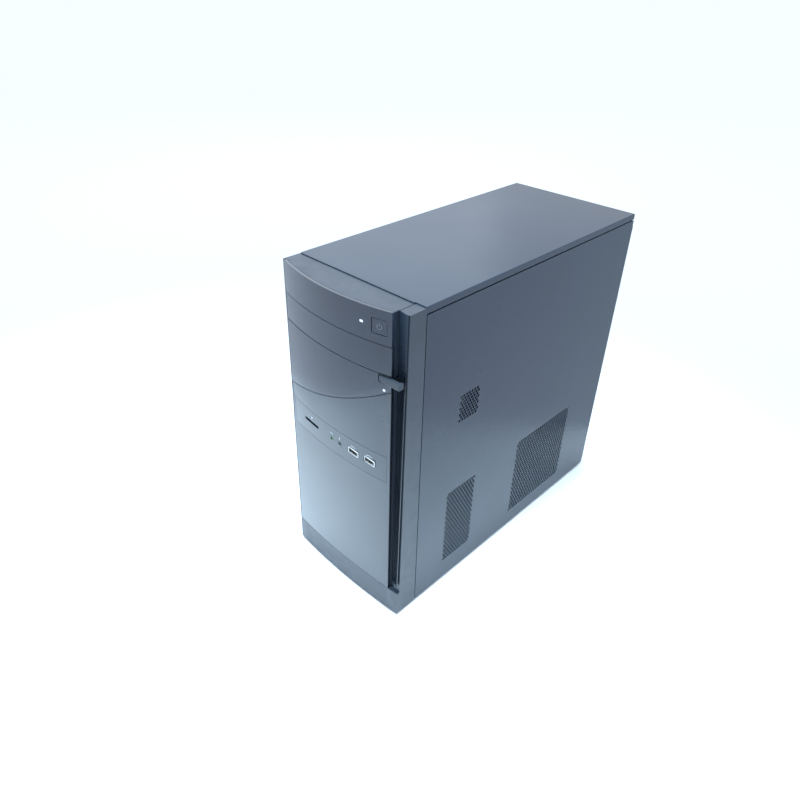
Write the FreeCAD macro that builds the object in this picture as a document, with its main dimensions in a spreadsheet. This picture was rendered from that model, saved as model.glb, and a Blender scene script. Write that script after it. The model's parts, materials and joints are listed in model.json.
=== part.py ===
import FreeCAD, Part
import math
import os
from types import SimpleNamespace

import Sketcher
from FreeCAD import Placement, Rotation, Vector

# Micro-tower desktop computer: a steel chassis with a bowed plastic front, an optical drive whose
# tray carries its own front band, and the power supply above an upside-down main board.
# Frame: +Z up, the front faces -Y, X runs to the viewer's right as they face the front.
# The origin is below the middle of the whole object, on the surface that the feet stand on.
# Lengths are in millimetres.

doc = FreeCAD.newDocument("DesktopTower")

# ---------------------------------------------------------------- driving dimensions
drivingSizes = {
    "caseWidth": 167, "caseTop": 368, "frontY": -196, "seamY": -160, "rearY": 190, "endY": 196,
    "footHeight": 4, "steel": 1, "lipZ": 361.5, "skirtZ": 3,
    "skin": 3, "gap": 0.3, "carrier": 6, "wall": 2.5,
    "panelLeft": -81.5, "panelRight": 70.1,
    "chinTop": 34.5, "bandLow": 183.5, "bandHigh": 215, "traySeam": 305.5, "upperSeam": 334.3,
    "ventHole": 2.8, "ventPitch": 8.4,
    "boardX": -72.5, "boardLow": 22, "boardHigh": 266, "boardFront": -22, "boardRear": 188,
    "boardThick": 1.6, "wallX": -80,
    "supplyLeft": -77, "supplyRight": 73, "supplyLow": 275, "supplyHigh": 361, "supplyFront": 49,
    "driveLeft": -76, "driveRight": 70, "driveLow": 289, "driveHigh": 330,
    "driveFront": -158, "driveRear": 12,
    "trayLeft": -67, "trayRight": 61, "trayLow": 311, "trayHigh": 317, "discY": -105,
    "cageLeft": -30, "cageRight": 71.7, "cageLow": 200, "cageRear": -3,
    "diskLow": 250, "diskHigh": 276,
    "fanX": 24, "fanZ": 110, "fanSide": 92, "fanDepth": 25,
    "coolerY": 88, "coolerZ": 88, "coolerSide": 90,
    "supplyFanX": -35, "supplyFanZ": 318, "supplyFanSide": 80,
    "inletX": 42, "inletZ": 300, "slotPitch": 20.32, "slotZ": 198,
    "powerX": 57.6, "powerZ": 350.7, "powerWide": 15.4, "powerTall": 13.9,
    "ejectZ": 300.7, "jackZ": 200.2,
}
sheet = doc.addObject("Spreadsheet::Sheet", "Dims")
for row, (name, value) in enumerate(drivingSizes.items(), start=1):
    sheet.set(f"A{row}", name)
    sheet.set(f"B{row}", f"{value}")
    sheet.setAlias(f"B{row}", name)
doc.recompute()


def formula(size):
    return size.formula if isinstance(size, Size) else repr(float(size))


class Size(float):
    """A length that remembers the spreadsheet formula it comes from."""

    def __new__(cls, value, text):
        size = super().__new__(cls, value)
        size.formula = text
        return size

    def __add__(self, other):
        return Size(float(self) + float(other), f"({formula(self)} + {formula(other)})")

    def __radd__(self, other):
        return Size(float(other) + float(self), f"({formula(other)} + {formula(self)})")

    def __sub__(self, other):
        return Size(float(self) - float(other), f"({formula(self)} - {formula(other)})")

    def __rsub__(self, other):
        return Size(float(other) - float(self), f"({formula(other)} - {formula(self)})")

    def __mul__(self, other):
        return Size(float(self) * float(other), f"({formula(self)} * {formula(other)})")

    __rmul__ = __mul__

    def __truediv__(self, other):
        return Size(float(self) / float(other), f"({formula(self)} / {formula(other)})")

    def __neg__(self):
        return Size(-float(self), f"(-1 * {formula(self)})")


d = SimpleNamespace(**{name: Size(value, f"Dims.{name}") for name, value in drivingSizes.items()})
halfWidth = d.caseWidth / 2
nodes = []


# ---------------------------------------------------------------- helpers
def node(piece, label):
    """Mark a finished object as one named sub-part."""
    piece.Label = label
    nodes.append(piece)
    return piece


def bind(piece, **sizes):
    for path, size in sizes.items():
        piece.setExpression(path.replace("__", "."), formula(size))


def box(name, xs, ys, zs):
    """Box between two corners, each span given as (low, high)."""
    solid = doc.addObject("Part::Box", name)
    bind(solid, Length=xs[1] - xs[0], Width=ys[1] - ys[0], Height=zs[1] - zs[0],
         Placement__Base__x=xs[0], Placement__Base__y=ys[0], Placement__Base__z=zs[0])
    return solid


def rod(name, axis, centre, radius, span):
    """Cylinder along an axis; centre holds the two other coordinates in X, Y, Z order."""
    solid = doc.addObject("Part::Cylinder", name)
    turn = {"X": Rotation(Vector(0, 1, 0), 90), "Y": Rotation(Vector(1, 0, 0), -90), "Z": Rotation()}
    solid.Placement = Placement(Vector(), turn[axis])
    low = {"X": (span[0], *centre), "Y": (centre[0], span[0], centre[1]), "Z": (*centre, span[0])}[axis]
    bind(solid, Radius=radius, Height=span[1] - span[0],
         Placement__Base__x=low[0], Placement__Base__y=low[1], Placement__Base__z=low[2])
    return solid


def fuse(name, pieces):
    joined = doc.addObject("Part::MultiFuse", name)
    joined.Shapes = pieces
    joined.Refine = True
    return joined


def cut(name, base, tools):
    result = doc.addObject("Part::Cut", name)
    result.Base = base
    result.Tool = tools[0] if len(tools) == 1 else fuse(name + "_tools", tools)
    return result


def group(name, pieces):
    """Several separate solids that share one node, such as a set of screws."""
    gathered = doc.addObject("Part::Compound", name)
    gathered.Links = pieces
    return gathered


def feature(name, shape):
    solid = doc.addObject("Part::Feature", name)
    solid.Shape = shape
    solid.Placement = Placement()
    return solid


def rect(low, high, bottom, top):
    return [(low, bottom), (high, bottom), (high, top), (low, top)]


def sketchOn(body, role, level):
    """Sketch on one of the body's own origin planes, moved along its normal to level."""
    sketch = body.newObject("Sketcher::SketchObject", f"{body.Name}_sketch")
    plane = next(item for item in body.Origin.OriginFeatures if item.Role == role)
    sketch.AttachmentSupport = [(plane, "")]
    sketch.MapMode = "FlatFace"
    bind(sketch, AttachmentOffset__Base__z=level)
    return sketch


def draw(sketch, shape):
    """Add a closed polygon (a list of corners) or a circle (x, y, radius), all dimensioned."""
    first = sketch.GeometryCount
    if isinstance(shape, tuple):
        x, y, radius = shape
        sketch.addGeometry(Part.Circle(Vector(x, y, 0), Vector(0, 0, 1), radius))
        sketch.addConstraint(Sketcher.Constraint("Radius", first, float(radius)))
        sketch.setExpression(f"Constraints[{sketch.ConstraintCount - 1}]", formula(radius))
        place(sketch, first, 3, x, y)
        return
    corners = [Vector(x, y, 0) for x, y in shape]
    for start, end in zip(corners, corners[1:] + corners[:1]):
        sketch.addGeometry(Part.LineSegment(start, end))
    for index, (x, y) in enumerate(shape):
        following = first + (index + 1) % len(shape)
        sketch.addConstraint(Sketcher.Constraint("Coincident", first + index, 2, following, 1))
        place(sketch, first + index, 1, x, y)


def place(sketch, geometry, point, x, y):
    for kind, size in (("DistanceX", x), ("DistanceY", y)):
        sketch.addConstraint(Sketcher.Constraint(kind, -1, 1, geometry, point, float(size)))
        sketch.setExpression(f"Constraints[{sketch.ConstraintCount - 1}]", formula(size))


def slab(name, plane, span, boundary, holes=()):
    """Part Design body: one sketch with its holes, padded over span along the plane's normal."""
    body = doc.addObject("PartDesign::Body", name)
    level = -span[1] if plane == "XZ_Plane" else span[0]
    sketch = sketchOn(body, plane, level)
    for shape in (boundary, *holes):
        draw(sketch, shape)
    pad = body.newObject("PartDesign::Pad", f"{name}_pad")
    pad.Profile = sketch
    bind(pad, Length=span[1] - span[0])
    return body


def pocket(body, plane, span, shapes):
    """Cut shapes out of a body over span along the plane's normal."""
    name = f"{body.Name}_pocket"
    sketch = sketchOn(body, plane, -span[0] if plane == "XZ_Plane" else span[1])
    for shape in shapes:
        draw(sketch, shape)
    tool = body.newObject("PartDesign::Pocket", name)
    tool.Profile = sketch
    bind(tool, Length=span[1] - span[0])
    return tool


def roundEdges(body, radius, wanted):
    """Fillet the edges of the body's tip that wanted(edge) picks."""
    doc.recompute()
    tip = body.Tip
    names = [f"Edge{index}" for index, edge in enumerate(tip.Shape.Edges, start=1) if wanted(edge)]
    fillet = body.newObject("PartDesign::Fillet", f"{body.Name}_fillet")
    fillet.Base = (tip, names)
    fillet.Radius = radius
    return fillet


def runsAlong(edge, axis):
    ends = edge.Vertexes
    if len(ends) != 2:
        return False
    return abs((ends[1].Point - ends[0].Point).normalize().dot(axis)) > 0.999


def repeat(body, source, axisRole, length, count):
    """Linear pattern of one feature along an origin axis, made the body's tip."""
    pattern = body.newObject("PartDesign::LinearPattern", f"{body.Name}_pattern")
    pattern.Originals = [source]
    axis = next(item for item in body.Origin.OriginFeatures if item.Role == axisRole)
    pattern.Direction = (axis, [""])
    bind(pattern, Length=length)
    pattern.Occurrences = count
    body.Tip = pattern
    return pattern


def perforated(boundary, holes, holeRadius, placement, thickness):
    """Flat sheet with many round holes, drawn in its own plane and then placed."""
    corners = [Vector(x, y, 0) for x, y in boundary]
    outer = Part.makePolygon(corners + corners[:1])
    circles = [Part.Wire(Part.makeCircle(holeRadius, Vector(x, y, 0))) for x, y in holes]
    face = Part.makeFace([outer, *circles], "Part::FaceMakerBullseye")
    face.Placement = placement
    normal = placement.Rotation.multVec(Vector(0, 0, thickness))
    return face.extrude(normal)


def staggered(lows, highs, pitch):
    """Centres of a triangular hole field that fills a rectangle."""
    rowStep = pitch * math.sqrt(3) / 2
    rows = int((highs[1] - lows[1]) / rowStep) + 1
    for row in range(rows):
        shift = pitch / 2 if row % 2 else 0
        columns = int((highs[0] - lows[0] - shift) / pitch) + 1
        for column in range(columns):
            yield lows[0] + shift + column * pitch, lows[1] + row * rowStep


uprightXZ = Rotation(Vector(1, 0, 0), 90)      # local x, y become X, Z; the normal is -Y
uprightYZ = Rotation(Vector(1, 1, 1), 120)     # local x, y become Y, Z; the normal is +X
alongZ = Vector(0, 0, 1)
alongY = Vector(0, 1, 0)


# ---------------------------------------------------------------- chassis
def makeChassis():
    innerRight = halfWidth - 2
    footSpots = [(x, y) for x in (-62, 62) for y in (-135, 165)]
    pan = slab("base_pan", "XY_Plane", (d.footHeight, d.footHeight + d.steel),
               rect(-halfWidth + 2.5, innerRight - 0.5, d.seamY + 2, d.rearY - 1.1),
               [(x, y, 3) for x, y in footSpots])
    node(pan, "base_pan")

    feet = []
    for index, (x, y) in enumerate(footSpots):
        pad = doc.addObject("Part::Cone", f"foot_{index}")
        bind(pad, Radius1=8.5, Radius2=9.5, Height=d.footHeight,
             Placement__Base__x=x, Placement__Base__y=y)
        plug = rod(f"foot_plug_{index}", "Z", (x, y), 2.8, (d.footHeight, d.footHeight + d.steel + 1.5))
        feet.append(fuse(f"foot_body_{index}", [pad, plug]))
    node(group("feet_set", feet), "feet")

    wallLow = d.footHeight + d.steel
    standoffHoles = [(y, z, 1.6) for y, z in standoffSpots()]
    boardWall = slab("board_wall", "YZ_Plane", (d.wallX, d.wallX + d.steel),
                     rect(d.seamY + 3.1, d.rearY - 1.1, wallLow, d.caseTop - 1.6),
                     [*standoffHoles, rect(-62, -34, 60, 180)])
    node(boardWall, "board_wall")

    leftPanel = slab("left_panel", "YZ_Plane", (-halfWidth, -halfWidth + d.steel),
                     rect(d.seamY + d.gap, d.rearY, d.skirtZ, d.lipZ - 0.3))
    roundEdges(leftPanel, 0.6, lambda edge: runsAlong(edge, alongZ) and edge.BoundBox.XMin < -83.4)
    node(leftPanel, "left_panel")

    frame = slab("front_frame", "XZ_Plane", (d.seamY + 2, d.seamY + 3),
                 rect(d.wallX, innerRight, wallLow, d.caseTop - 1.6),
                 [rect(d.driveLeft - 1, d.driveRight + 1, d.driveLow - 1, d.driveHigh + 1),
                  rect(-30, 72, d.cageLow + 2, 280),
                  rect(-62, 62, 62, 172),
                  (-50, 200, 9), (-62, 240, 9)])
    node(frame, "front_frame")


def standoffSpots():
    return [(y, z) for y in (-12, 74, 180) for z in (30, 148, 248.8)]


def makeRearPanel():
    low, high = d.footHeight, d.caseTop - 1.6
    edge = halfWidth - 1.6
    boundary = rect(-edge, edge, low, high)
    plate = perforated([(float(x), float(z)) for x, z in boundary], list(fanVents()), 2.4,
                       Placement(Vector(0, d.rearY, 0), uprightXZ), d.steel)
    sheetMetal = feature("rear_sheet", plate)
    windows = [box("io_window", (-74.2, -29.7), (188, 191), (22.4, 181.2)),
               box("supply_window", (d.supplyLeft + 2, d.supplyRight - 2), (188, 191),
                   (d.supplyLow + 2, d.supplyHigh - 2))]
    for index in range(4):
        z = d.slotZ + d.slotPitch * index
        windows.append(box(f"slot_window_{index}", (-64, 36), (188, 191), (z - 6.5, z + 6.5)))
    for index, (x, z, radius) in enumerate(rearScrewHoles()):
        windows.append(rod(f"rear_hole_{index}", "Y", (x, z), radius, (188, 191)))
    node(cut("rear_panel", sheetMetal, windows), "rear_panel")


def fanVents():
    reach = d.fanSide / 2 - 5
    for x, z in staggered((-46, -46), (46, 46), 6.2):
        if math.hypot(x, z) < reach:
            yield d.fanX + x, d.fanZ + z


def fanCorners(x, z, side):
    offset = side * 0.4484
    return [(x + sx * offset, z + sz * offset) for sx in (-1, 1) for sz in (-1, 1)]


def supplyScrewSpots():
    leftPair = fanCorners(d.supplyFanX, d.supplyFanZ, d.supplyFanSide)[:2]
    return [*leftPair, (d.supplyRight - 8, d.supplyHigh - 16), (d.supplyRight - 30, d.supplyLow + 8)]


def rearScrewHoles():
    for x, z in fanCorners(d.fanX, d.fanZ, d.fanSide):
        yield x, z, 2.2
    for z in thumbscrewHeights():
        yield thumbscrewX(), z, 2.4


def thumbscrewHeights():
    return (48, 262)


def thumbscrewX():
    return halfWidth - 6.5


def makeTopCover():
    """Folded steel lid: a channel profile with rounded shoulders, run from the seam to the rear."""
    thick = 1.2
    outer, inner = halfWidth, halfWidth - 1
    top, under, lip = d.caseTop, d.caseTop - thick, d.lipZ
    lid = slab("top_cover", "XZ_Plane", (d.seamY, d.rearY),
               [(-outer, lip), (-inner, lip), (-inner, under), (inner, under),
                (inner, lip), (outer, lip), (outer, top), (-outer, top)])
    roundEdges(lid, 1.1, lambda edge: runsAlong(edge, alongY) and edge.BoundBox.ZMin > float(top) - 0.01)
    node(lid, "top_cover")


def makeSidePanel():
    """Removable cover with three punched vent fields and a rear fold that the thumbscrews hold."""
    vents = [((-105.9, 222.0), (-74.5, 254.6)), ((-115.4, 30.4), (-66.8, 132.6)),
             ((10.6, 24.3), (122.2, 134.7))]
    radius = float(d.ventHole)
    centres = []
    for low, high in vents:
        centres += staggered((low[0] + radius, low[1] + radius),
                             (high[0] - radius, high[1] - radius), float(d.ventPitch))
    front, rear = float(d.seamY + d.gap), float(d.rearY + d.gap)
    low, high = float(d.skirtZ + 0.2), float(d.lipZ - 0.5)
    inside = halfWidth - d.steel
    sheetMetal = perforated([(front, low), (rear, low), (rear, high), (front, high)], centres, radius,
                            Placement(Vector(inside, 0, 0), uprightYZ), float(d.steel))
    holes = [(thumbscrewX(), z, 2.0) for z in thumbscrewHeights()]
    fold = slab("rear_fold", "XZ_Plane", (d.rearY + d.gap, d.rearY + d.gap + d.steel),
                rect(halfWidth - 13, halfWidth, d.skirtZ + 8, d.lipZ - 8), holes)
    stiffener = box("front_return", (inside - 5, inside), (d.seamY + 0.3, d.seamY + 1.2),
                    (d.footHeight + 6, d.lipZ - 12))
    node(fuse("side_panel", [feature("side_sheet", sheetMetal), fold, stiffener]), "side_panel")

    screws = []
    foldFace = d.rearY + d.gap + d.steel
    for index, z in enumerate(thumbscrewHeights()):
        screw = doc.addObject("PartDesign::Body", f"thumbscrew_{index}")
        profile = sketchOn(screw, "YZ_Plane", 0)
        head = d.endY - foldFace
        draw(profile, [(-6.5, 0), (head, 0), (head, 4.6), (head - 0.6, 5.2), (0.8, 5.2), (0, 4.4),
                       (0, 1.7), (-6.5, 1.7)])
        turned = screw.newObject("PartDesign::Revolution", f"thumbscrew_turned_{index}")
        turned.Profile = profile
        turned.ReferenceAxis = (profile, ["H_Axis"])
        turned.Angle = 360
        bind(screw, Placement__Base__x=thumbscrewX(), Placement__Base__y=foldFace, Placement__Base__z=z)
        screws.append(screw)
    node(group("thumbscrew_pair", screws), "panel_thumbscrews")


# ---------------------------------------------------------------- bowed front
front = SimpleNamespace(apexX=2.3, top=367.0, topRadius=262.0, topApex=-196.0,
                        low=3.0, lowRadius=937.0, lowApex=-192.1)


def frontY(x, z):
    """Outer face of the front at a point: ruled between an arc at the top and a flatter one at the floor."""
    share = (z - front.low) / (front.top - front.low)
    upper = bowAt(x, front.topApex, front.topRadius)
    lower = bowAt(x, front.lowApex, front.lowRadius)
    return lower + (upper - lower) * share


def bowAt(x, apex, radius):
    return apex + radius - math.sqrt(radius ** 2 - (x - front.apexX) ** 2)


def frontForm(setBack, inset=0.0, low=None, high=None):
    """Solid whose front is the bowed face moved back, closed behind at the chassis seam."""
    side = float(halfWidth) - inset
    low = float(d.skirtZ) + inset if low is None else low
    high = float(d.caseTop) - 1 - inset if high is None else high
    back = float(d.seamY)
    sections = []
    for z in (low, high):
        left = Vector(-side, frontY(-side, z) + setBack, z)
        middle = Vector(front.apexX, frontY(front.apexX, z) + setBack, z)
        right = Vector(side, frontY(side, z) + setBack, z)
        rearRight = Vector(side, back, z)
        rearLeft = Vector(-side, back, z)
        edges = [Part.Arc(left, middle, right).toShape(), Part.makeLine(right, rearRight),
                 Part.makeLine(rearRight, rearLeft), Part.makeLine(rearLeft, left)]
        sections.append(Part.Wire(edges))
    return Part.makeLoft(sections, True, True)


def block(xs, ys, zs):
    size = [float(high - low) for low, high in (xs, ys, zs)]
    return Part.makeBox(*size, Vector(xs[0], ys[0], zs[0]))


def post(x, z, radius, ys):
    return Part.makeCylinder(radius, ys[1] - ys[0], Vector(x, ys[0], z), alongY)


def sweepPoints(shift):
    """Three points of the rising arc that parts the drive bay from the lower panel."""
    return [Vector(-82.5, 0, 231.7 + shift), Vector(-4.7, 0, 252.9 + shift), Vector(71.2, 0, 290.4 + shift)]


def arcRegion(bottom, top, belowArc, arcShift):
    """Front-view region bounded by the rising arc on one side, as a solid through the front."""
    start, middle, end = sweepPoints(arcShift)
    level = bottom if belowArc else top
    corners = [end, Vector(end.x, 0, level), Vector(start.x, 0, level), start]
    edges = [Part.Arc(start, middle, end).toShape()]
    edges += [Part.makeLine(a, b) for a, b in zip(corners, corners[1:])]
    face = Part.Face(Part.Wire(edges))
    face.translate(Vector(0, -210, 0))
    return face.extrude(Vector(0, 60, 0))


def makeFront():
    left, right = float(d.panelLeft), float(d.panelRight)
    skin, gap, carrier, wall = (float(size) for size in (d.skin, d.gap, d.carrier, d.wall))
    ahead = (-210.0, -150.0)
    whole = frontForm(0)
    layer = whole.cut(frontForm(skin, -1, 2, 369))
    top = float(d.caseTop) - 1

    power = [float(size) for size in (d.powerX, d.powerZ, d.powerWide, d.powerTall)]
    powerHole = block((power[0] - power[2] / 2 - 0.35, power[0] + power[2] / 2 + 0.35), ahead,
                      (power[1] - power[3] / 2 - 0.35, power[1] + power[3] / 2 + 0.35))
    powerLed = block((36.8, 40.8), ahead, (349.4, 352.0))
    upper = layer.common(block((left, right), ahead, (float(d.upperSeam) + gap, top)))
    node(feature("upper_band", upper.cut(powerHole).cut(powerLed)), "upper_band")

    trayBand = layer.common(block((left, right), ahead,
                                  (float(d.traySeam) + gap, float(d.upperSeam) - gap)))
    node(feature("tray_front", trayBand), "tray_front")

    ejectSlot = block((57.0, 71.0), ahead, (float(d.ejectZ) - 3.9, float(d.ejectZ) + 3.9))
    driveLed = post(*driveLampSpot(), 1.5, ahead)
    blank = layer.common(block((left, right), ahead, (225, float(d.traySeam) - gap)))
    blank = blank.common(arcRegion(0, 330, False, gap))
    node(feature("bay_blank", blank.cut(ejectSlot).cut(driveLed)), "bay_blank")

    band = (block((-77, 66.8), ahead, (float(d.bandLow), float(d.bandHigh))))
    lower = layer.common(block((left, right), ahead, (float(d.chinTop), 330)))
    lower = lower.common(arcRegion(0, 330, True, -gap)).cut(band)
    node(feature("lower_panel", lower), "lower_panel")

    ioPlate = layer.common(block((-77 + gap, 66.8 - gap), ahead,
                                 (float(d.bandLow) + gap, float(d.bandHigh) - gap)))
    for opening in ioOpenings(ahead, 0.25):
        ioPlate = ioPlate.cut(opening)
    node(feature("io_band", ioPlate), "io_band")

    # Moulding: the outer form, hollowed from behind, rebated for the panels that sit in it.
    hollow = frontForm(carrier, wall).common(block((-90, right - 3), (-210, -159), (0, 368)))
    hollow = hollow.fuse(block((right - 4, float(halfWidth) - wall), (-175, -159),
                               (float(d.skirtZ) + wall, top - wall)))
    rebate = whole.cut(frontForm(skin + gap, -1, 2, 369)).common(
        block((left - gap, 90), ahead, (float(d.chinTop) - gap, 369)))
    moulding = whole.cut(hollow).cut(rebate).cut(notch())
    for opening in carrierWindows(power):
        moulding = moulding.cut(opening)
    node(feature("front_bezel", moulding), "front_bezel")

    makeFrontControls(layer, power)


def notch():
    """Recess beside the raised panels, with a ramped floor above the chin."""
    edge = float(halfWidth) + 1
    inner = float(d.panelRight) + float(d.gap)
    floorLow, floorHigh = float(d.chinTop) - 1.0, float(d.chinTop) + 10.0
    sections = []
    for z, faceInner, faceEdge in ((-5, -184.0, -188.8), (380, -178.8, -181.2)):
        corners = [Vector(inner, -210, z), Vector(edge, -210, z), Vector(edge, faceEdge, z),
                   Vector(inner, faceInner, z)]
        sections.append(Part.makePolygon(corners + corners[:1]))
    recess = Part.makeLoft(sections, True, True)
    corners = [Vector(inner - 1, -215, floorLow), Vector(edge + 1, -215, floorHigh),
               Vector(edge + 1, -215, 400), Vector(inner - 1, -215, 400)]
    above = Part.Face(Part.makePolygon(corners + corners[:1])).extrude(Vector(0, 60, 0))
    return recess.common(above)


def carrierWindows(power):
    """Openings through the moulding for what passes behind the panels."""
    deep = (-205.0, -165.0)
    yield block((power[0] - 8.6, power[0] + 8.6), deep, (power[1] - 7.9, power[1] + 7.9))
    yield block((36.5, 41.1), deep, (349.1, 352.3))
    yield block((-73, 66), deep, (308, 322))
    yield block((56.6, 71), deep, (float(d.ejectZ) - 4.1, float(d.ejectZ) + 4.1))
    yield post(*driveLampSpot(), 1.7, deep)
    yield block((-66, 60), deep, (188, 211))
    for row in range(6):
        z = 62 + row * 18
        yield block((-60, 50), deep, (z, z + 8))


def ioOpenings(ys, clearance):
    """Cut-outs of the connector strip: card slot, its lamp, two jacks and two USB sockets."""
    z = float(d.jackZ)
    yield block((-55.6 - clearance, -30.6 + clearance), ys, (z - 1.7, z + 1.7))
    yield post(-53.4, z, 2.9 + clearance, ys)
    yield post(-42.5, z + 6.2, 1.0 + clearance, ys)
    for x in jackPlaces():
        yield post(x, z, 3.2 + clearance, ys)
    for x in usbPlaces():
        across, up = 7.4 + clearance, 3.7 + clearance
        yield block((x - across, x + across), ys, (z - up, z + up))


def driveLampSpot():
    return 62.7, 289.3


def jackPlaces():
    return (-8.0, 4.6)


def usbPlaces():
    return (24.3, 45.6)


def makeFrontControls(layer, power):
    ahead = (-210.0, -150.0)
    cap = layer.common(block((power[0] - power[2] / 2, power[0] + power[2] / 2), ahead,
                             (power[1] - power[3] / 2, power[1] + power[3] / 2)))
    cap.translate(Vector(0, -0.4, 0))
    capBack = frontY(power[0], power[1]) + 0.5
    stem = block((power[0] - 3.5, power[0] + 3.5), (capBack, -178), (power[1] - 3.5, power[1] + 3.5))
    node(feature("power_button", cap.fuse(stem).removeSplitter()), "power_button")

    pipe = layer.common(block((37.0, 40.6), ahead, (349.6, 351.8)))
    tail = block((37.0, 40.6), (frontY(38.8, 350.7) + 1, -172), (349.6, 351.8))
    driveLamp = post(*driveLampSpot(), 1.4, (frontY(*driveLampSpot()) - 0.3, -168))
    cardLamp = post(-42.5, float(d.jackZ) + 6.2, 1.0, (frontY(-42.5, d.jackZ) - 0.1, -176))
    node(feature("lamp_set", Part.makeCompound([pipe.fuse(tail), driveLamp, cardLamp])), "status_lamps")

    lever = slab("eject_lever", "XZ_Plane", (-190.8, -186),
                 rect(57.7, 82.4, d.ejectZ - 3.0, d.ejectZ + 3.0))
    roundEdges(lever, 0.9, lambda edge: edge.BoundBox.YMin < -190.7 and edge.BoundBox.YMax < -190)
    hook = box("eject_hook", (79.4, 82.4), (-187, -184.4), (d.ejectZ - 3.0, d.ejectZ + 3.0))
    push = box("eject_push", (60, 66), (-187, -170), (d.ejectZ - 2.2, d.ejectZ + 2.2))
    node(fuse("eject_button", [lever, hook, push]), "eject_button")


def makeFrontConnectors():
    z = float(d.jackZ)
    boardTop = z - 6.2
    node(slab("front_io_board", "XY_Plane", (boardTop - 1.6, boardTop),
              rect(-62, 58, -184, -164), [(-59, -168, 1.6), (55, -168, 1.6)]), "front_io_board")

    slotFace = frontY(-59, z) + 3.1
    reader = block((-59, -27), (slotFace, -166), (boardTop, z + 3.6))
    for opening in list(ioOpenings((-210.0, -172.0), 0))[:1]:
        reader = reader.cut(opening)
    node(feature("card_reader", reader), "card_reader")

    jacks = []
    for x in jackPlaces():
        face = frontY(x, z) - 0.2
        barrel = post(x, z, 3.2, (face, -178)).fuse(block((x - 5, x + 5), (-188, -170), (boardTop, z + 5)))
        jacks.append(barrel.cut(post(x, z, 1.8, (face - 5, -174))))
    node(feature("audio_jacks", Part.makeCompound(jacks)), "audio_jacks")

    sockets, tongues = [], []
    for x in usbPlaces():
        face = frontY(x, z) - 0.2
        shell = block((x - 7.2, x + 7.2), (face, -173), (z - 3.5, z + 3.5))
        shell = shell.fuse(block((x - 5, x + 5), (-182, -174), (boardTop, z - 3)))
        sockets.append(shell.cut(block((x - 6.5, x + 6.5), (face - 5, -176), (z - 2.8, z + 2.8))))
        tongues.append(block((x - 5.6, x + 5.6), (face + 1.5, -176), (z + 0.2, z + 2.1)))
    node(feature("usb_set", Part.makeCompound(sockets + tongues)), "usb_sockets")


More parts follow.
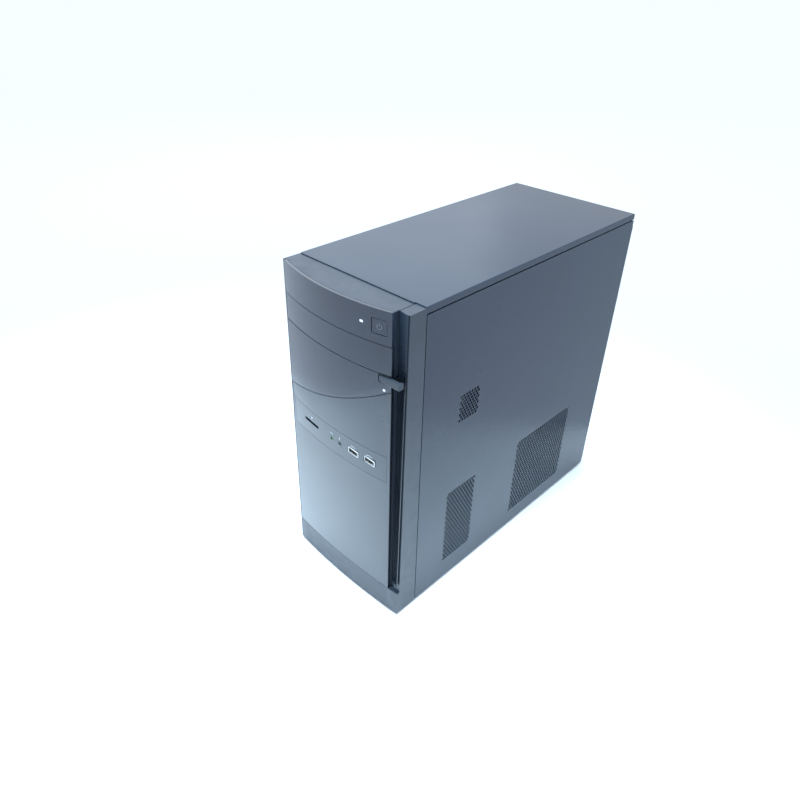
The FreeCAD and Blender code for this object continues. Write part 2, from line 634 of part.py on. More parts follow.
# ---------------------------------------------------------------- drives
def makeOpticalDrive():
    outer = box("drive_outer", (d.driveLeft, d.driveRight), (d.driveFront, d.driveRear),
                (d.driveLow, d.driveHigh))
    inner = box("drive_inner", (d.driveLeft + 1, d.driveRight - 1), (d.driveFront - 1, d.driveRear - 1),
                (d.driveLow + 1, d.driveHigh - 1))
    centre = (d.trayLeft + d.trayRight) / 2
    clamp = rod("disc_clamp", "Z", (centre, d.discY), 16, (d.trayHigh + 4, d.driveHigh - 0.5))
    node(fuse("drive_case", [cut("drive_shell", outer, [inner]), clamp]), "drive_case")

    fascia = slab("drive_fascia", "XZ_Plane", (d.driveFront - 5, d.driveFront),
                  rect(d.driveLeft, d.driveRight, d.driveLow, d.driveHigh),
                  [rect(d.trayLeft - 2, d.trayRight + 2, d.trayLow - 1.5, d.trayHigh + 1.5),
                   rect(58, 66, d.ejectZ - 2.5, d.ejectZ + 2.5)])
    node(fascia, "drive_fascia")

    neckLevel = (d.trayLow + d.trayHigh) / 2
    neck = [(x, frontY(x, neckLevel) + 3.15) for x in (-45, -24, 0, 20, 40)]
    tray = slab("disc_tray", "XY_Plane", (d.trayLow, d.trayHigh),
                [(d.trayLeft, -172), (-45, -172), *neck,
                 (40, -172), (d.trayRight, -172), (d.trayRight, 5), (d.trayLeft, 5)],
                [rect(centre - 17, centre + 17, d.discY - 17, d.discY + 46)])
    pocket(tray, "XY_Plane", (d.trayHigh - 2, d.trayHigh + 1), [(centre, d.discY, 60.5)])
    pocket(tray, "XY_Plane", (d.trayHigh - 3.2, d.trayHigh - 1.5), [(centre, d.discY, 40.5)])
    node(tray, "disc_tray")

    deckLow = d.driveLow + 2.5
    deck = slab("drive_deck", "XY_Plane", (deckLow, deckLow + 6),
                rect(centre - 56, centre + 56, -152, -20),
                [rect(centre - 13, centre + 13, d.discY + 18, d.discY + 74)])
    motor = rod("spindle_motor", "Z", (centre, d.discY), 13, (deckLow + 6, deckLow + 8.5))
    rails = [rod(f"sled_rail_{index}", "Y", (centre + side * 15.5, deckLow + 7), 1.3,
                 (d.discY + 16, d.discY + 76)) for index, side in enumerate((-1, 1))]
    seats = [box(f"rail_seat_{index}", (centre - 18, centre + 18), (y, y + 2.5), (deckLow + 5.9, deckLow + 9))
             for index, y in enumerate((d.discY + 14.5, d.discY + 75))]
    node(fuse("drive_deck_set", [deck, motor, *rails, *seats]), "drive_mechanism")

    hub = doc.addObject("PartDesign::Body", "spindle_hub")
    profile = sketchOn(hub, "XZ_Plane", 0)
    draw(profile, [(0, 0), (14, 0), (14, 2.2), (7.4, 2.2), (7.1, 4.6), (5, 6.2), (0, 6.2)])
    turned = hub.newObject("PartDesign::Revolution", "spindle_hub_turned")
    turned.Profile = profile
    turned.ReferenceAxis = (profile, ["V_Axis"])
    turned.Angle = 360
    bind(hub, Placement__Base__x=centre, Placement__Base__y=d.discY, Placement__Base__z=deckLow + 8.9)
    node(hub, "spindle_hub")

    carriage = box("sled_body", (centre - 11, centre + 11), (d.discY + 19, d.discY + 39),
                   (deckLow + 6.4, deckLow + 10.5))
    ears = [box(f"sled_ear_{index}", (centre + low, centre + high), (d.discY + 22, d.discY + 36),
                (deckLow + 8.8, deckLow + 10.5)) for index, (low, high) in enumerate(((-18, -10), (10, 18)))]
    lens = rod("sled_lens", "Z", (centre, d.discY + 27), 3.4, (deckLow + 10, deckLow + 12))
    node(fuse("laser_sled", [carriage, *ears, lens]), "laser_sled")


def makeDriveCages():
    left, right = d.driveLeft - 0.05, d.driveRight + 0.05
    floor = d.driveLow - 0.05
    shelf = slab("optical_bay", "XZ_Plane", (d.seamY + 3.1, 20),
                 [(left - 1, floor - 1), (right + 1, floor - 1),
                  (right + 1, d.driveHigh), (right, d.driveHigh),
                  (right, floor), (left, floor), (left, d.driveHigh), (left - 1, d.driveHigh)])

    low, high = d.cageLow, floor - 1
    cage = slab("disk_cage", "XZ_Plane", (d.seamY + 3.1, d.cageRear),
                [(d.cageLeft - 1, high), (d.cageLeft - 1, low), (d.cageRight + 1, low),
                 (d.cageRight + 1, high), (d.cageRight, high), (d.cageRight, low + 1),
                 (d.cageLeft, low + 1), (d.cageLeft, high)])
    pocket(cage, "YZ_Plane", (d.cageRight - 0.5, d.cageRight + 1.5),
           [(y, z, 1.9) for y, z in diskScrewSpots()])
    node(group("cage_pair", [shelf, cage]), "drive_cage")

    diskX = (d.cageLeft + 0.05, d.cageRight - 0.05)
    casting = slab("disk_casting", "XY_Plane", (d.diskLow + 1.8, d.diskHigh - 1.2),
                   rect(diskX[0], diskX[1], d.cageRear - 150, d.cageRear - 4))
    roundEdges(casting, 3, lambda edge: runsAlong(edge, alongZ))
    lid = slab("disk_lid", "XY_Plane", (d.diskHigh - 1.2, d.diskHigh),
               rect(diskX[0] + 3, diskX[1] - 3, d.cageRear - 147, d.cageRear - 14))
    roundEdges(lid, 8, lambda edge: runsAlong(edge, alongZ))
    circuit = slab("disk_circuit", "XY_Plane", (d.diskLow + 0.2, d.diskLow + 1.8),
                   rect(diskX[0] + 4, diskX[1] - 4, d.cageRear - 110, d.cageRear - 5))
    node(group("disk_set", [fuse("disk_sealed", [casting, lid]), circuit]), "hard_disk")


def diskScrewSpots():
    return [(-124, d.diskLow + 9), (-64, d.diskLow + 9)]


# ---------------------------------------------------------------- power supply
def makePowerSupply():
    left, right, low, high, near = (d.supplyLeft, d.supplyRight, d.supplyLow, d.supplyHigh, d.supplyFront)
    far = d.rearY - d.steel
    base = slab("supply_base", "YZ_Plane", (left, right),
                [(near, low), (far, low), (far, high), (far - 1, high), (far - 1, low + 1),
                 (near + 1, low + 1), (near + 1, high), (near, high)])
    pocket(base, "XZ_Plane", (far - 2, far + 1),
           [(d.supplyFanX, d.supplyFanZ, d.supplyFanSide / 2 - 3),
            rect(d.inletX - 14.2, d.inletX + 14.2, d.inletZ - 10.2, d.inletZ + 10.2),
            rect(d.inletX - 8, d.inletX + 8, d.inletZ + 29, d.inletZ + 39),
            *[(x, z, 2.0) for x, z in supplyScrewSpots()]])
    ventColumns = [rect(left + 44 + 10 * index, left + 50 + 10 * index, low + 16, high - 16)
                   for index in range(9)]
    pocket(base, "XZ_Plane", (near - 1, near + 2), [(left + 24, low + 22, 9), *ventColumns])
    node(base, "supply_base")

    cover = slab("supply_cover", "XZ_Plane", (near + 1.05, far - 1.05),
                 [(left, low + 1.05), (left + 1, low + 1.05), (left + 1, high - 1), (right - 1, high - 1),
                  (right - 1, low + 1.05), (right, low + 1.05), (right, high), (left, high)])
    node(cover, "supply_cover")

    node(fanFrame("supply_fan_frame", d.supplyFanX, d.supplyFanZ, d.supplyFanSide,
                  (far - 26, far - 1.1)), "supply_fan_frame")
    node(rotor("supply_fan_rotor", d.supplyFanSide, 7, (d.supplyFanX, far - 12, d.supplyFanZ), "Y"),
         "supply_fan_rotor")

    rings = []
    for index, radius in enumerate((8, 17, 26, 35)):
        ring = doc.addObject("Part::Torus", f"guard_ring_{index}")
        ring.Placement = Placement(Vector(), Rotation(Vector(1, 0, 0), 90))
        bind(ring, Radius1=radius, Radius2=0.9, Placement__Base__x=d.supplyFanX,
             Placement__Base__y=d.rearY + 0.4, Placement__Base__z=d.supplyFanZ)
        rings.append(ring)
    reach = d.supplyFanSide / 2 - 1
    bars = [box("guard_bar_wide", (d.supplyFanX - reach, d.supplyFanX + reach),
                (d.rearY - 0.9, d.rearY + 0.3), (d.supplyFanZ - 0.8, d.supplyFanZ + 0.8)),
            box("guard_bar_tall", (d.supplyFanX - 0.8, d.supplyFanX + 0.8),
                (d.rearY - 0.9, d.rearY + 0.3), (d.supplyFanZ - 36, d.supplyFanZ + 36))]
    node(fuse("supply_guard", rings + bars), "supply_guard")

    x, z = d.inletX, d.inletZ
    housing = box("inlet_housing", (x - 14, x + 14), (far - 21, far + 0.6), (z - 10, z + 10))
    flange = box("inlet_flange", (x - 16.5, x + 16.5), (far, far + 2.2), (z - 12.2, z + 12.2))
    mouth = box("inlet_mouth", (x - 12, x + 12), (far - 16.5, far + 5), (z - 8, z + 8))
    socket = cut("inlet_socket", fuse("inlet_block", [housing, flange]), [mouth])
    pins = [box(f"inlet_pin_{index}", (x + dx - 1, x + dx + 1), (far - 18, far - 4), (z + dz - 2, z + dz + 2))
            for index, (dx, dz) in enumerate(((-7, -1.5), (0, 2.5), (7, -1.5)))]
    z = d.inletZ + 34
    well = box("switch_well", (x - 7.6, x + 7.6), (far - 9, far + 0.5), (z - 4.6, z + 4.6))
    hollow = box("switch_hollow", (x - 6.6, x + 6.6), (far - 3, far + 2), (z - 3.6, z + 3.6))
    node(group("inlet_set", [socket, *pins, cut("switch_housing", well, [hollow])]), "supply_inlet")
    node(box("voltage_switch_cap", (x - 6.2, x - 0.2), (far - 2.7, far + 0.3), (z - 3.2, z + 3.2)),
         "voltage_switch")

    board = box("supply_board", (left + 8, right - 8), (near + 8, far - 30), (low + 5, low + 6.6))
    sinks = [box(f"supply_sink_{index}", (x0, x0 + 3), (near + 20, far - 42), (low + 6.6, low + 56))
             for index, x0 in enumerate((left + 48, left + 96))]
    coil = box("supply_coil", (left + 58, left + 88), (near + 40, near + 74), (low + 6.6, low + 36))
    cans = [rod(f"supply_can_{index}", "Z", (left + 28, near + 40 + 28 * index), 11, (low + 6.6, low + 44))
            for index in range(2)]
    node(fuse("supply_circuit", [board, *sinks, coil, *cans]), "supply_circuit")


def fanFrame(name, x, z, side, ys):
    """Square fan housing with a round duct, four struts and a motor seat at its rear."""
    half = side / 2
    corners = [(cx, cz, 2.2) for cx, cz in fanCorners(x, z, side)]
    duct = slab(f"{name}_duct", "XZ_Plane", ys, rect(x - half, x + half, z - half, z + half),
                [(x, z, half - 2), *corners])
    seat = rod(f"{name}_seat", "Y", (x, z), side * 0.2, (ys[1] - 3, ys[1]))
    struts = [box(f"{name}_strut_wide", (x - half + 1, x + half - 1), (ys[1] - 3, ys[1]), (z - 1.5, z + 1.5)),
              box(f"{name}_strut_tall", (x - 1.5, x + 1.5), (ys[1] - 3, ys[1]), (z - half + 1, z + half - 1))]
    return fuse(name, [duct, seat, *struts])


def rotor(name, side, blades, centre, axis):
    """Fan rotor: a hub and tilted blades patterned about the axle."""
    hubRadius, tip = side * 0.19, side * 0.435
    body = doc.addObject("PartDesign::Body", name)
    hubSketch = sketchOn(body, "XZ_Plane", -7.5)
    draw(hubSketch, (0.0, 0.0, float(hubRadius)))
    hub = body.newObject("PartDesign::Pad", f"{name}_hub")
    hub.Profile = hubSketch
    hub.Length = 17
    bladeSketch = sketchOn(body, "XY_Plane", hubRadius * 0.8)
    draw(bladeSketch, [(-10, -7), (-8.4, -7.6), (10, 5.4), (8.4, 6)])
    blade = body.newObject("PartDesign::Pad", f"{name}_blade")
    blade.Profile = bladeSketch
    bind(blade, Length=tip - hubRadius * 0.8)
    fan = body.newObject("PartDesign::PolarPattern", f"{name}_blades")
    fan.Originals = [blade]
    axle = next(item for item in body.Origin.OriginFeatures if item.Role == "Y_Axis")
    fan.Axis = (axle, [""])
    fan.Angle = 360
    fan.Occurrences = blades
    body.Tip = fan
    turn = {"Y": Rotation(), "X": Rotation(Vector(0, 0, 1), -90)}[axis]
    body.Placement = Placement(Vector(), turn)
    bind(body, Placement__Base__x=centre[0], Placement__Base__y=centre[1], Placement__Base__z=centre[2])
    return body


# ---------------------------------------------------------------- main board and what is on it
def makeBoard():
    face = d.boardX + d.boardThick
    board = slab("main_board", "YZ_Plane", (d.boardX, face),
                 rect(d.boardFront, d.boardRear, d.boardLow, d.boardHigh),
                 [(y, z, 2.0) for y, z in standoffSpots()])
    node(board, "main_board")
    standoffs = []
    for index, (y, z) in enumerate(standoffSpots()):
        spacer = rod(f"standoff_{index}", "X", (y, z), 3, (d.wallX + d.steel, d.boardX))
        shank = rod(f"standoff_screw_{index}", "X", (y, z), 1.5, (d.wallX, face))
        head = rod(f"standoff_head_{index}", "X", (y, z), 3.2, (face, face + 2))
        standoffs.append(fuse(f"standoff_set_{index}", [spacer, shank, head]))
    node(group("standoffs", standoffs), "standoffs")

    makeCooler(face)
    makeMemory(face)

    slots = []
    for index in range(4):
        z = d.slotZ + d.slotPitch * index
        length = 89 if index == 0 else 84
        body = box(f"slot_body_{index}", (face, face + 11), (132 - length, 132), (z - 4, z + 4))
        groove = box(f"slot_groove_{index}", (face + 3, face + 12), (134 - length, 130), (z - 0.9, z + 0.9))
        slots.append(cut(f"slot_{index}", body, [groove]))
    node(group("card_slot_set", slots), "card_slots")

    covers = []
    for index in range(4):
        z = d.slotZ + d.slotPitch * index
        blade = slab(f"slot_cover_{index}", "XZ_Plane", (187.9, 188.9), rect(-68, 46, z - 9.1, z + 9.1),
                     [rect(-50 + 16 * step, -38 + 16 * step, z - 1.5, z + 1.5) for step in range(5)])
        covers.append(blade)
    node(group("slot_cover_set", covers), "slot_covers")

    sink = doc.addObject("PartDesign::Body", "chipset_sink")
    addFinned(sink, (face + 1.5, face + 4), (face + 4, face + 15), (2, 34), (200, 232), 8)
    node(sink, "chipset_sink")

    cell = rod("coin_cell", "X", (26, 246), 10, (face, face + 4.6))
    cans = [rod(f"can_{index}", "X", (y, z), 3.9, (face, face + 12))
            for index, (y, z) in enumerate([(141, 36 + 11 * step) for step in range(8)]
                                           + [(-14, 126), (-14, 138), (48, 150), (60, 150)])]
    chokes = [box(f"choke_{index}", (face, face + 8), (62 + 14 * index, 72 + 14 * index), (134.5, 143.5))
              for index in range(5)]
    node(group("component_set", [cell, *cans, *chokes]), "board_components")

    power = box("board_power_body", (face, face + 12), (-20, -10), (60, 112))
    sata = [box(f"sata_{index}", (face, face + 9), (-20, -8), (213 + 12 * index, 219 + 12 * index))
            for index in range(3)]
    header = box("panel_header", (face, face + 8), (-18, -12), (38, 54))
    socket = box("processor_socket", (face, face + 6.5), (d.coolerY - 27, d.coolerY + 27),
                 (d.coolerZ - 27, d.coolerZ + 27))
    node(group("header_set", [socket, power, header, *sata]), "board_headers")


def addFinned(body, baseSpan, finSpan, ys, zs, fins):
    """Finned aluminium block: a base and thin fins patterned along Y."""
    thick = 1.2
    base = sketchOn(body, "YZ_Plane", baseSpan[0])
    draw(base, rect(ys[0], ys[1], zs[0], zs[1]))
    plate = body.newObject("PartDesign::Pad", f"{body.Name}_plate")
    plate.Profile = base
    bind(plate, Length=baseSpan[1] - baseSpan[0])
    rib = sketchOn(body, "YZ_Plane", finSpan[0])
    draw(rib, rect(ys[0], ys[0] + thick, zs[0], zs[1]))
    fin = body.newObject("PartDesign::Pad", f"{body.Name}_fin")
    fin.Profile = rib
    bind(fin, Length=finSpan[1] - finSpan[0])
    repeat(body, fin, "Y_Axis", ys[1] - ys[0] - thick, fins)


def makeCooler(face):
    y, z, half = d.coolerY, d.coolerZ, d.coolerSide / 2
    sink = doc.addObject("PartDesign::Body", "processor_sink")
    addFinned(sink, (face + 6.5, face + 13), (face + 13, face + 42),
              (y - half, y + half), (z - half, z + half), 24)
    node(sink, "processor_sink")
    seat = face + 42
    frame = fanFrame("processor_fan_frame_y", 0, 0, d.coolerSide, (0, d.fanDepth))
    frame.Placement = Placement(Vector(), Rotation(Vector(0, 0, 1), 90))
    bind(frame, Placement__Base__x=seat + d.fanDepth + 0.2, Placement__Base__y=y, Placement__Base__z=z)
    node(frame, "processor_fan_frame")
    node(rotor("processor_fan_rotor", d.coolerSide, 7, (seat + 15, y, z), "X"), "processor_fan_rotor")


def makeMemory(face):
    sockets, modules = [], []
    for index, y in enumerate((20, 30)):
        body = box(f"memory_body_{index}", (face, face + 8), (y - 3.2, y + 3.2), (32, 172))
        groove = box(f"memory_groove_{index}", (face + 3, face + 9), (y - 0.8, y + 0.8), (35, 169))
        sockets.append(cut(f"memory_socket_{index}", body, [groove]))
        module = box(f"module_card_{index}", (face + 3, face + 31), (y - 0.65, y + 0.65), (35.3, 168.7))
        chips = [box(f"module_chip_{index}_{step}", (face + 13, face + 25), (y - 1.6, y - 0.6),
                     (41 + 15.5 * step, 51 + 15.5 * step)) for step in range(8)]
        modules.append(fuse(f"module_{index}", [module, *chips]))
        latch = box(f"latch_arm_{index}", (face + 3.5, face + 17), (y - 2.6, y + 2.6), (172.4, 175.4))
        finger = box(f"latch_finger_{index}", (face + 13, face + 17), (y - 2.6, y + 2.6), (175, 178.5))
        pivot = rod(f"latch_pivot_{index}", "Y", (face + 3.5, 173.9), 1.5, (y - 2.6, y + 2.6))
        node(fuse(f"memory_latch_{index + 1}", [latch, finger, pivot]), f"memory_latch_{index + 1}")
    node(group("memory_socket_set", sockets), "memory_sockets")
    node(group("memory_module_set", modules), "memory_modules")


def makeRearPorts():
    face = d.boardX + d.boardThick
    shieldHoles = []
    ports = {
        "round": [(-62.5, 36, 6.2), (-43.5, 36, 6.2)],
        "audio": [(-62.8, 152, 3.2), (-51.4, 152, 3.2), (-40.0, 152, 3.2)],
        "block": [(-69.5, -33.0, 50, 69), (-69.5, -53.5, 74, 105), (-69.5, -38.0, 110, 126)],
    }
    shieldHoles += [(x, z, radius + 0.4) for x, z, radius in ports["round"] + ports["audio"]]
    shieldHoles += [rect(x0 - 0.4, x1 + 0.4, z0 - 0.4, z1 + 0.4) for x0, x1, z0, z1 in ports["block"]]
    shield = slab("io_shield", "XZ_Plane", (188.2, 188.9), rect(-75.6, -28.3, 21, 182.6), shieldHoles)
    node(shield, "io_shield")

    front, out = 166, 189.9
    rounds = []
    for index, (x, z, radius) in enumerate(ports["round"]):
        barrel = rod(f"round_port_{index}", "Y", (x, z), radius, (front, out))
        hollow = rod(f"round_port_hole_{index}", "Y", (x, z), radius - 1.4, (out - 8, out + 1))
        rounds.append(cut(f"round_port_cut_{index}", barrel, [hollow]))
    for index, (x, z, radius) in enumerate(ports["audio"]):
        barrel = rod(f"audio_port_{index}", "Y", (x, z), radius, (front, out))
        hollow = rod(f"audio_port_hole_{index}", "Y", (x, z), 1.8, (out - 14, out + 1))
        rounds.append(cut(f"audio_port_cut_{index}", barrel, [hollow]))
    cradle = [box("round_cradle", (face, -36), (front - 8, front), (28, 44)),
              box("audio_cradle", (face, -36), (front - 8, front), (146, 158))]

    # Network socket above a pair of USB sockets, a monitor socket, and two more USB sockets.
    stack = box("net_shell", (-69.5, -33.0), (front, out), (50, 69))
    netMouth = box("net_mouth", (-48.0, -36.2), (out - 14, out + 1), (52.5, 66.5))
    usbMouths = [box(f"stack_usb_mouth_{index}", (x, x + 5.4), (out - 12, out + 1), (53, 66))
                 for index, x in enumerate((-67.5, -58.5))]
    pair = box("pair_shell", (-69.5, -38.0), (front, out), (110, 126))
    pairMouths = [box(f"pair_usb_mouth_{index}", (x, x + 5.4), (out - 12, out + 1), (111.5, 124.5))
                  for index, x in enumerate((-66.5, -47))]
    node(group("metal_port_set", [cut("network_stack", stack, [netMouth, *usbMouths]),
                                  cut("usb_stack", pair, pairMouths)]), "metal_ports")
    video = box("video_body", (-69.5, -53.5), (front, out), (74, 105))
    rim = [box("video_groove_low", (-67.6, -55.4), (out - 5, out + 1), (80, 82)),
           box("video_groove_high", (-67.6, -55.4), (out - 5, out + 1), (97, 99)),
           box("video_groove_near", (-67.6, -65.8), (out - 5, out + 1), (80, 99)),
           box("video_groove_far", (-57.2, -55.4), (out - 5, out + 1), (80, 99))]
    node(group("plastic_port_set", [*rounds, *cradle, cut("video_port", video, rim)]), "plastic_ports")


def makeRearFanAndScrews():
    ys = (d.rearY - d.steel - d.fanDepth, d.rearY - d.steel - 0.05)
    node(fanFrame("rear_fan_frame", d.fanX, d.fanZ, d.fanSide, ys), "rear_fan_frame")
    node(rotor("rear_fan_rotor", d.fanSide, 7, (d.fanX, ys[0] + 13, d.fanZ), "Y"), "rear_fan_rotor")
    screws = []
    spots = [*fanCorners(d.fanX, d.fanZ, d.fanSide), *supplyScrewSpots()]
    for index, (x, z) in enumerate(spots):
        inner = d.rearY if index < 4 else d.rearY - d.steel
        shank = rod(f"rear_shank_{index}", "Y", (x, z), 1.7, (inner - 7, inner))
        head = rod(f"rear_head_{index}", "Y", (x, z), 3.6, (inner, inner + 2))
        screws.append(fuse(f"rear_screw_{index}", [shank, head]))
    wall = d.cageRight + 1
    for index, spot in enumerate(diskScrewSpots()):
        shank = rod(f"disk_shank_{index}", "X", spot, 1.6, (wall - 1, wall))
        head = rod(f"disk_head_{index}", "X", spot, 3.4, (wall, wall + 2))
        screws.append(fuse(f"disk_screw_{index}", [shank, head]))
    node(group("case_screw_set", screws), "case_screws")


# ---------------------------------------------------------------- cables held inside
def tube(name, route, radius):
    """Round cable along straight runs joined by tangent arcs as large as the runs allow."""
    points = [Vector(*(float(value) for value in point)) for point in route]
    edges, radii, start = [], [], points[0]
    for before, corner, after in zip(points, points[1:], points[2:]):
        inward = (before - corner).normalize()
        outward = (after - corner).normalize()
        turn = math.pi - inward.getAngle(outward)
        reach = 0.45 * min(before.distanceToPoint(corner), corner.distanceToPoint(after))
        bend = reach / math.tan(turn / 2)
        radii.append(round(bend, 1))
        first, last = corner + inward * reach, corner + outward * reach
        toCentre = (inward + outward).normalize()
        middle = corner + toCentre * (bend / math.cos(turn / 2) - bend)
        edges.append(Part.makeLine(start, first))
        edges.append(Part.Arc(first, middle, last).toShape())
        start = last
    edges.append(Part.makeLine(start, points[-1]))
    path = Part.Wire(edges)
    section = Part.Wire(Part.makeCircle(radius, points[0], points[1] - points[0]))
    solid = path.makePipeShell([section], True, False, 2)
    share = solid.Volume / (math.pi * radius ** 2 * path.Length)
    print(f"{name}: radii {radii}, length {path.Length:.0f}, volume share {share:.4f}")
    return feature(name, solid)


def makeCables():
    face = d.boardX + d.boardThick
    plug = box("board_plug_body", (face + 12, face + 24), (-20.5, -9.5), (61, 111))
    start = (d.supplyLeft + 24, d.supplyFront + 11, d.supplyLow + 22)
    node(group("power_cable_set", [plug, tube("board_power_tube", [
        start, (-53, 46.2, 297), (-53, 32.8, 289.2), (-52.6, 25, 275.8), (-50, 23.6, 252), (-43, 17.5, 226),
        (-31, 6, 200), (-20, -6, 172), (-12, -13.5, 144), (-10, -15, 124), (-10, -15.2, 108), (-18, -15, 94),
        (-32, -15, 86), (-46.9, -15, 86)], 4.5)]), "board_power_cable")
    ends = [box("data_plug_board", (face + 9, face + 17), (-20, -8), (212.5, 219.5)),
            box("data_plug_disk", (16, 30), (d.cageRear - 4, d.cageRear + 8), (d.diskLow + 2, d.diskLow + 8)),
            box("panel_plug", (face + 8, face + 16), (-18.5, -11.5), (39, 53))]
    data = tube("data_cable", [
        (face + 17, -14, 216), (-41, -13.6, 216.6), (-37, -4, 219.6), (-29, 5, 224), (-16, 13, 232),
        (-2, 21, 243), (13, 21.5, 253), (23, 15, 255), (23, 5, 255)], 1.6)
    panel = tube("panel_cable", [
        (-50, -166, 198.9), (-50, -148, 198.9), (-56, -134, 190), (-60, -120, 170), (-60, -102, 142),
        (-56, -82, 112), (-49, -62, 86), (-41, -44, 64), (-38, -32, 51), (-38, -23.8, 46.6),
        (-41.2, -18.2, 46),
        (-46.8, -15, 46), (face + 16, -15, 46)], 2.0)
    node(group("signal_cable_set", [*ends, data, panel]), "signal_cables")


# ---------------------------------------------------------------- build, check and write
makeChassis()
makeRearPanel()
makeTopCover()
makeSidePanel()
makeFront()
makeFrontConnectors()
makeOpticalDrive()
makeDriveCages()
makePowerSupply()
makeBoard()
makeRearPorts()
makeRearFanAndScrews()
makeCables()
doc.recompute()

failed = [item.Name for item in doc.Objects if "Invalid" in item.State or "Error" in item.State]
failed += [piece.Label for piece in nodes if piece.Shape.isNull() or not piece.Shape.isValid()]
if failed:
    raise RuntimeError(f"failed objects: {failed}")

os.makedirs("parts", exist_ok=True)
for piece in nodes:
    piece.Shape.exportStep(f"parts/{piece.Label}.step")
    span = piece.Shape.BoundBox
    print(f"{piece.Label}: {len(piece.Shape.Solids)} solids, "
          f"{span.XLength:.1f} x {span.YLength:.1f} x {span.ZLength:.1f}")
print(len(nodes), "nodes")
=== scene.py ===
import json
import math
import random

import bmesh
import bpy
from mathutils import Matrix, Vector


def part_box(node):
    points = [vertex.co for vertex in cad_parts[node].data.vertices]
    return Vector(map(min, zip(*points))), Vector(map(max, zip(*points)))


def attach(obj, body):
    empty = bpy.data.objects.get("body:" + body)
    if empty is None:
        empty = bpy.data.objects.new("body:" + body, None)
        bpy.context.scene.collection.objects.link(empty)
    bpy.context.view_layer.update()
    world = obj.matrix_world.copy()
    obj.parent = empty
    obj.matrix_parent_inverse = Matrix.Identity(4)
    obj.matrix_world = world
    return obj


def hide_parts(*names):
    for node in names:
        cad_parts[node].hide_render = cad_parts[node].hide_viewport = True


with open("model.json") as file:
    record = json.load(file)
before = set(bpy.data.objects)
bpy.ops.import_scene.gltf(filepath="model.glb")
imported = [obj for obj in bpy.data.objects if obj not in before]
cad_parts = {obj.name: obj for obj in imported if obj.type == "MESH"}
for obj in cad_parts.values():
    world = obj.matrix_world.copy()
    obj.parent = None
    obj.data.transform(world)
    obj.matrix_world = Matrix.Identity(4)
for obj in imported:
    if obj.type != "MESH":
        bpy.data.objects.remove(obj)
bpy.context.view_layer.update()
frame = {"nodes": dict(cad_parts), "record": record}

mm = 0.001        # pieces are drawn in millimetres and shrunk to metres when they are finished
print("frame loaded:", len(frame["nodes"]), "nodes")


# the camera stands where the sight lines of the tower's corners meet
cameraSetup = {"place": (0.41084, -0.52881, 0.60858), "azimuth": 44.014, "elevation": 34.09,
               "roll": 1.198, "lens": 29.6187, "sensor": 36.0}


def makeCamera():
    data = bpy.data.cameras.new("camera")
    data.lens, data.sensor_width = cameraSetup["lens"], cameraSetup["sensor"]
    data.clip_start, data.clip_end = 0.02, 50
    camera = bpy.data.objects.new("camera", data)
    bpy.context.scene.collection.objects.link(camera)
    turn = (Matrix.Rotation(math.radians(cameraSetup["azimuth"]), 4, "Z")
            @ Matrix.Rotation(math.radians(90 - cameraSetup["elevation"]), 4, "X")
            @ Matrix.Rotation(math.radians(cameraSetup["roll"]), 4, "Z"))
    camera.matrix_world = Matrix.Translation(cameraSetup["place"]) @ turn
    bpy.context.scene.camera = camera


lightSetup = {"skyColour": (0.92, 1.0, 1.10), "skyStrength": 1.10,
              "overhead": {"place": (-0.02, -0.27, 3.2), "aim": (-0.04, -0.23, 0), "power": 1250,
                           "angle": 20, "radius": 0.45, "colour": (0.70, 0.88, 1.0)},
              "rearSoftbox": {"place": (-1.5, 1.1, 1.5), "aim": (0, 0, 0.3), "power": 4, "size": (1.4, 1.2),
                              "colour": (0.84, 0.93, 1.0)},
              "floorSide": 60.0, "floorColour": (0.92, 0.97, 1.0)}


# a lamp of the given kind, set up by its dictionary and turned towards its aim
def addLamp(name, kind, setup):
    lamp = bpy.data.lights.new(name, kind)
    lamp.energy, lamp.color = setup["power"], setup["colour"]
    holder = bpy.data.objects.new(name, lamp)
    turn = (Vector(setup["aim"]) - Vector(setup["place"])).to_track_quat("-Z", "Y")
    holder.matrix_world = Matrix.Translation(setup["place"]) @ turn.to_matrix().to_4x4()
    bpy.context.scene.collection.objects.link(holder)
    return lamp


def makeLights():
    world = bpy.data.worlds.new("studio")
    bpy.context.scene.world = world
    world.use_nodes = True
    sky = world.node_tree.nodes["Background"]
    sky.inputs["Color"].default_value = (*lightSetup["skyColour"], 1)
    sky.inputs["Strength"].default_value = lightSetup["skyStrength"]

    overhead = addLamp("overhead", "SPOT", lightSetup["overhead"])
    overhead.spot_size, overhead.spot_blend = math.radians(lightSetup["overhead"]["angle"]), 1.0
    overhead.shadow_soft_size = lightSetup["overhead"]["radius"]

    softbox = addLamp("rear_softbox", "AREA", lightSetup["rearSoftbox"])
    softbox.shape = "RECTANGLE"
    softbox.size, softbox.size_y = lightSetup["rearSoftbox"]["size"]


def makeFloor():
    bm = bmesh.new()
    bmesh.ops.create_grid(bm, x_segments=1, y_segments=1, size=lightSetup["floorSide"] / 2)
    mesh = bpy.data.meshes.new("floor")
    bm.to_mesh(mesh)
    bm.free()
    floor = bpy.data.objects.new("floor", mesh)
    bpy.context.scene.collection.objects.link(floor)
    paint = bpy.data.materials.new("floor_paint")
    paint.use_nodes = True
    shader = paint.node_tree.nodes["Principled BSDF"]
    shader.inputs["Base Color"].default_value = (*lightSetup["floorColour"], 1)
    shader.inputs["Roughness"].default_value = 0.8
    shader.inputs["Specular IOR Level"].default_value = 0.1
    mesh.materials.append(paint)


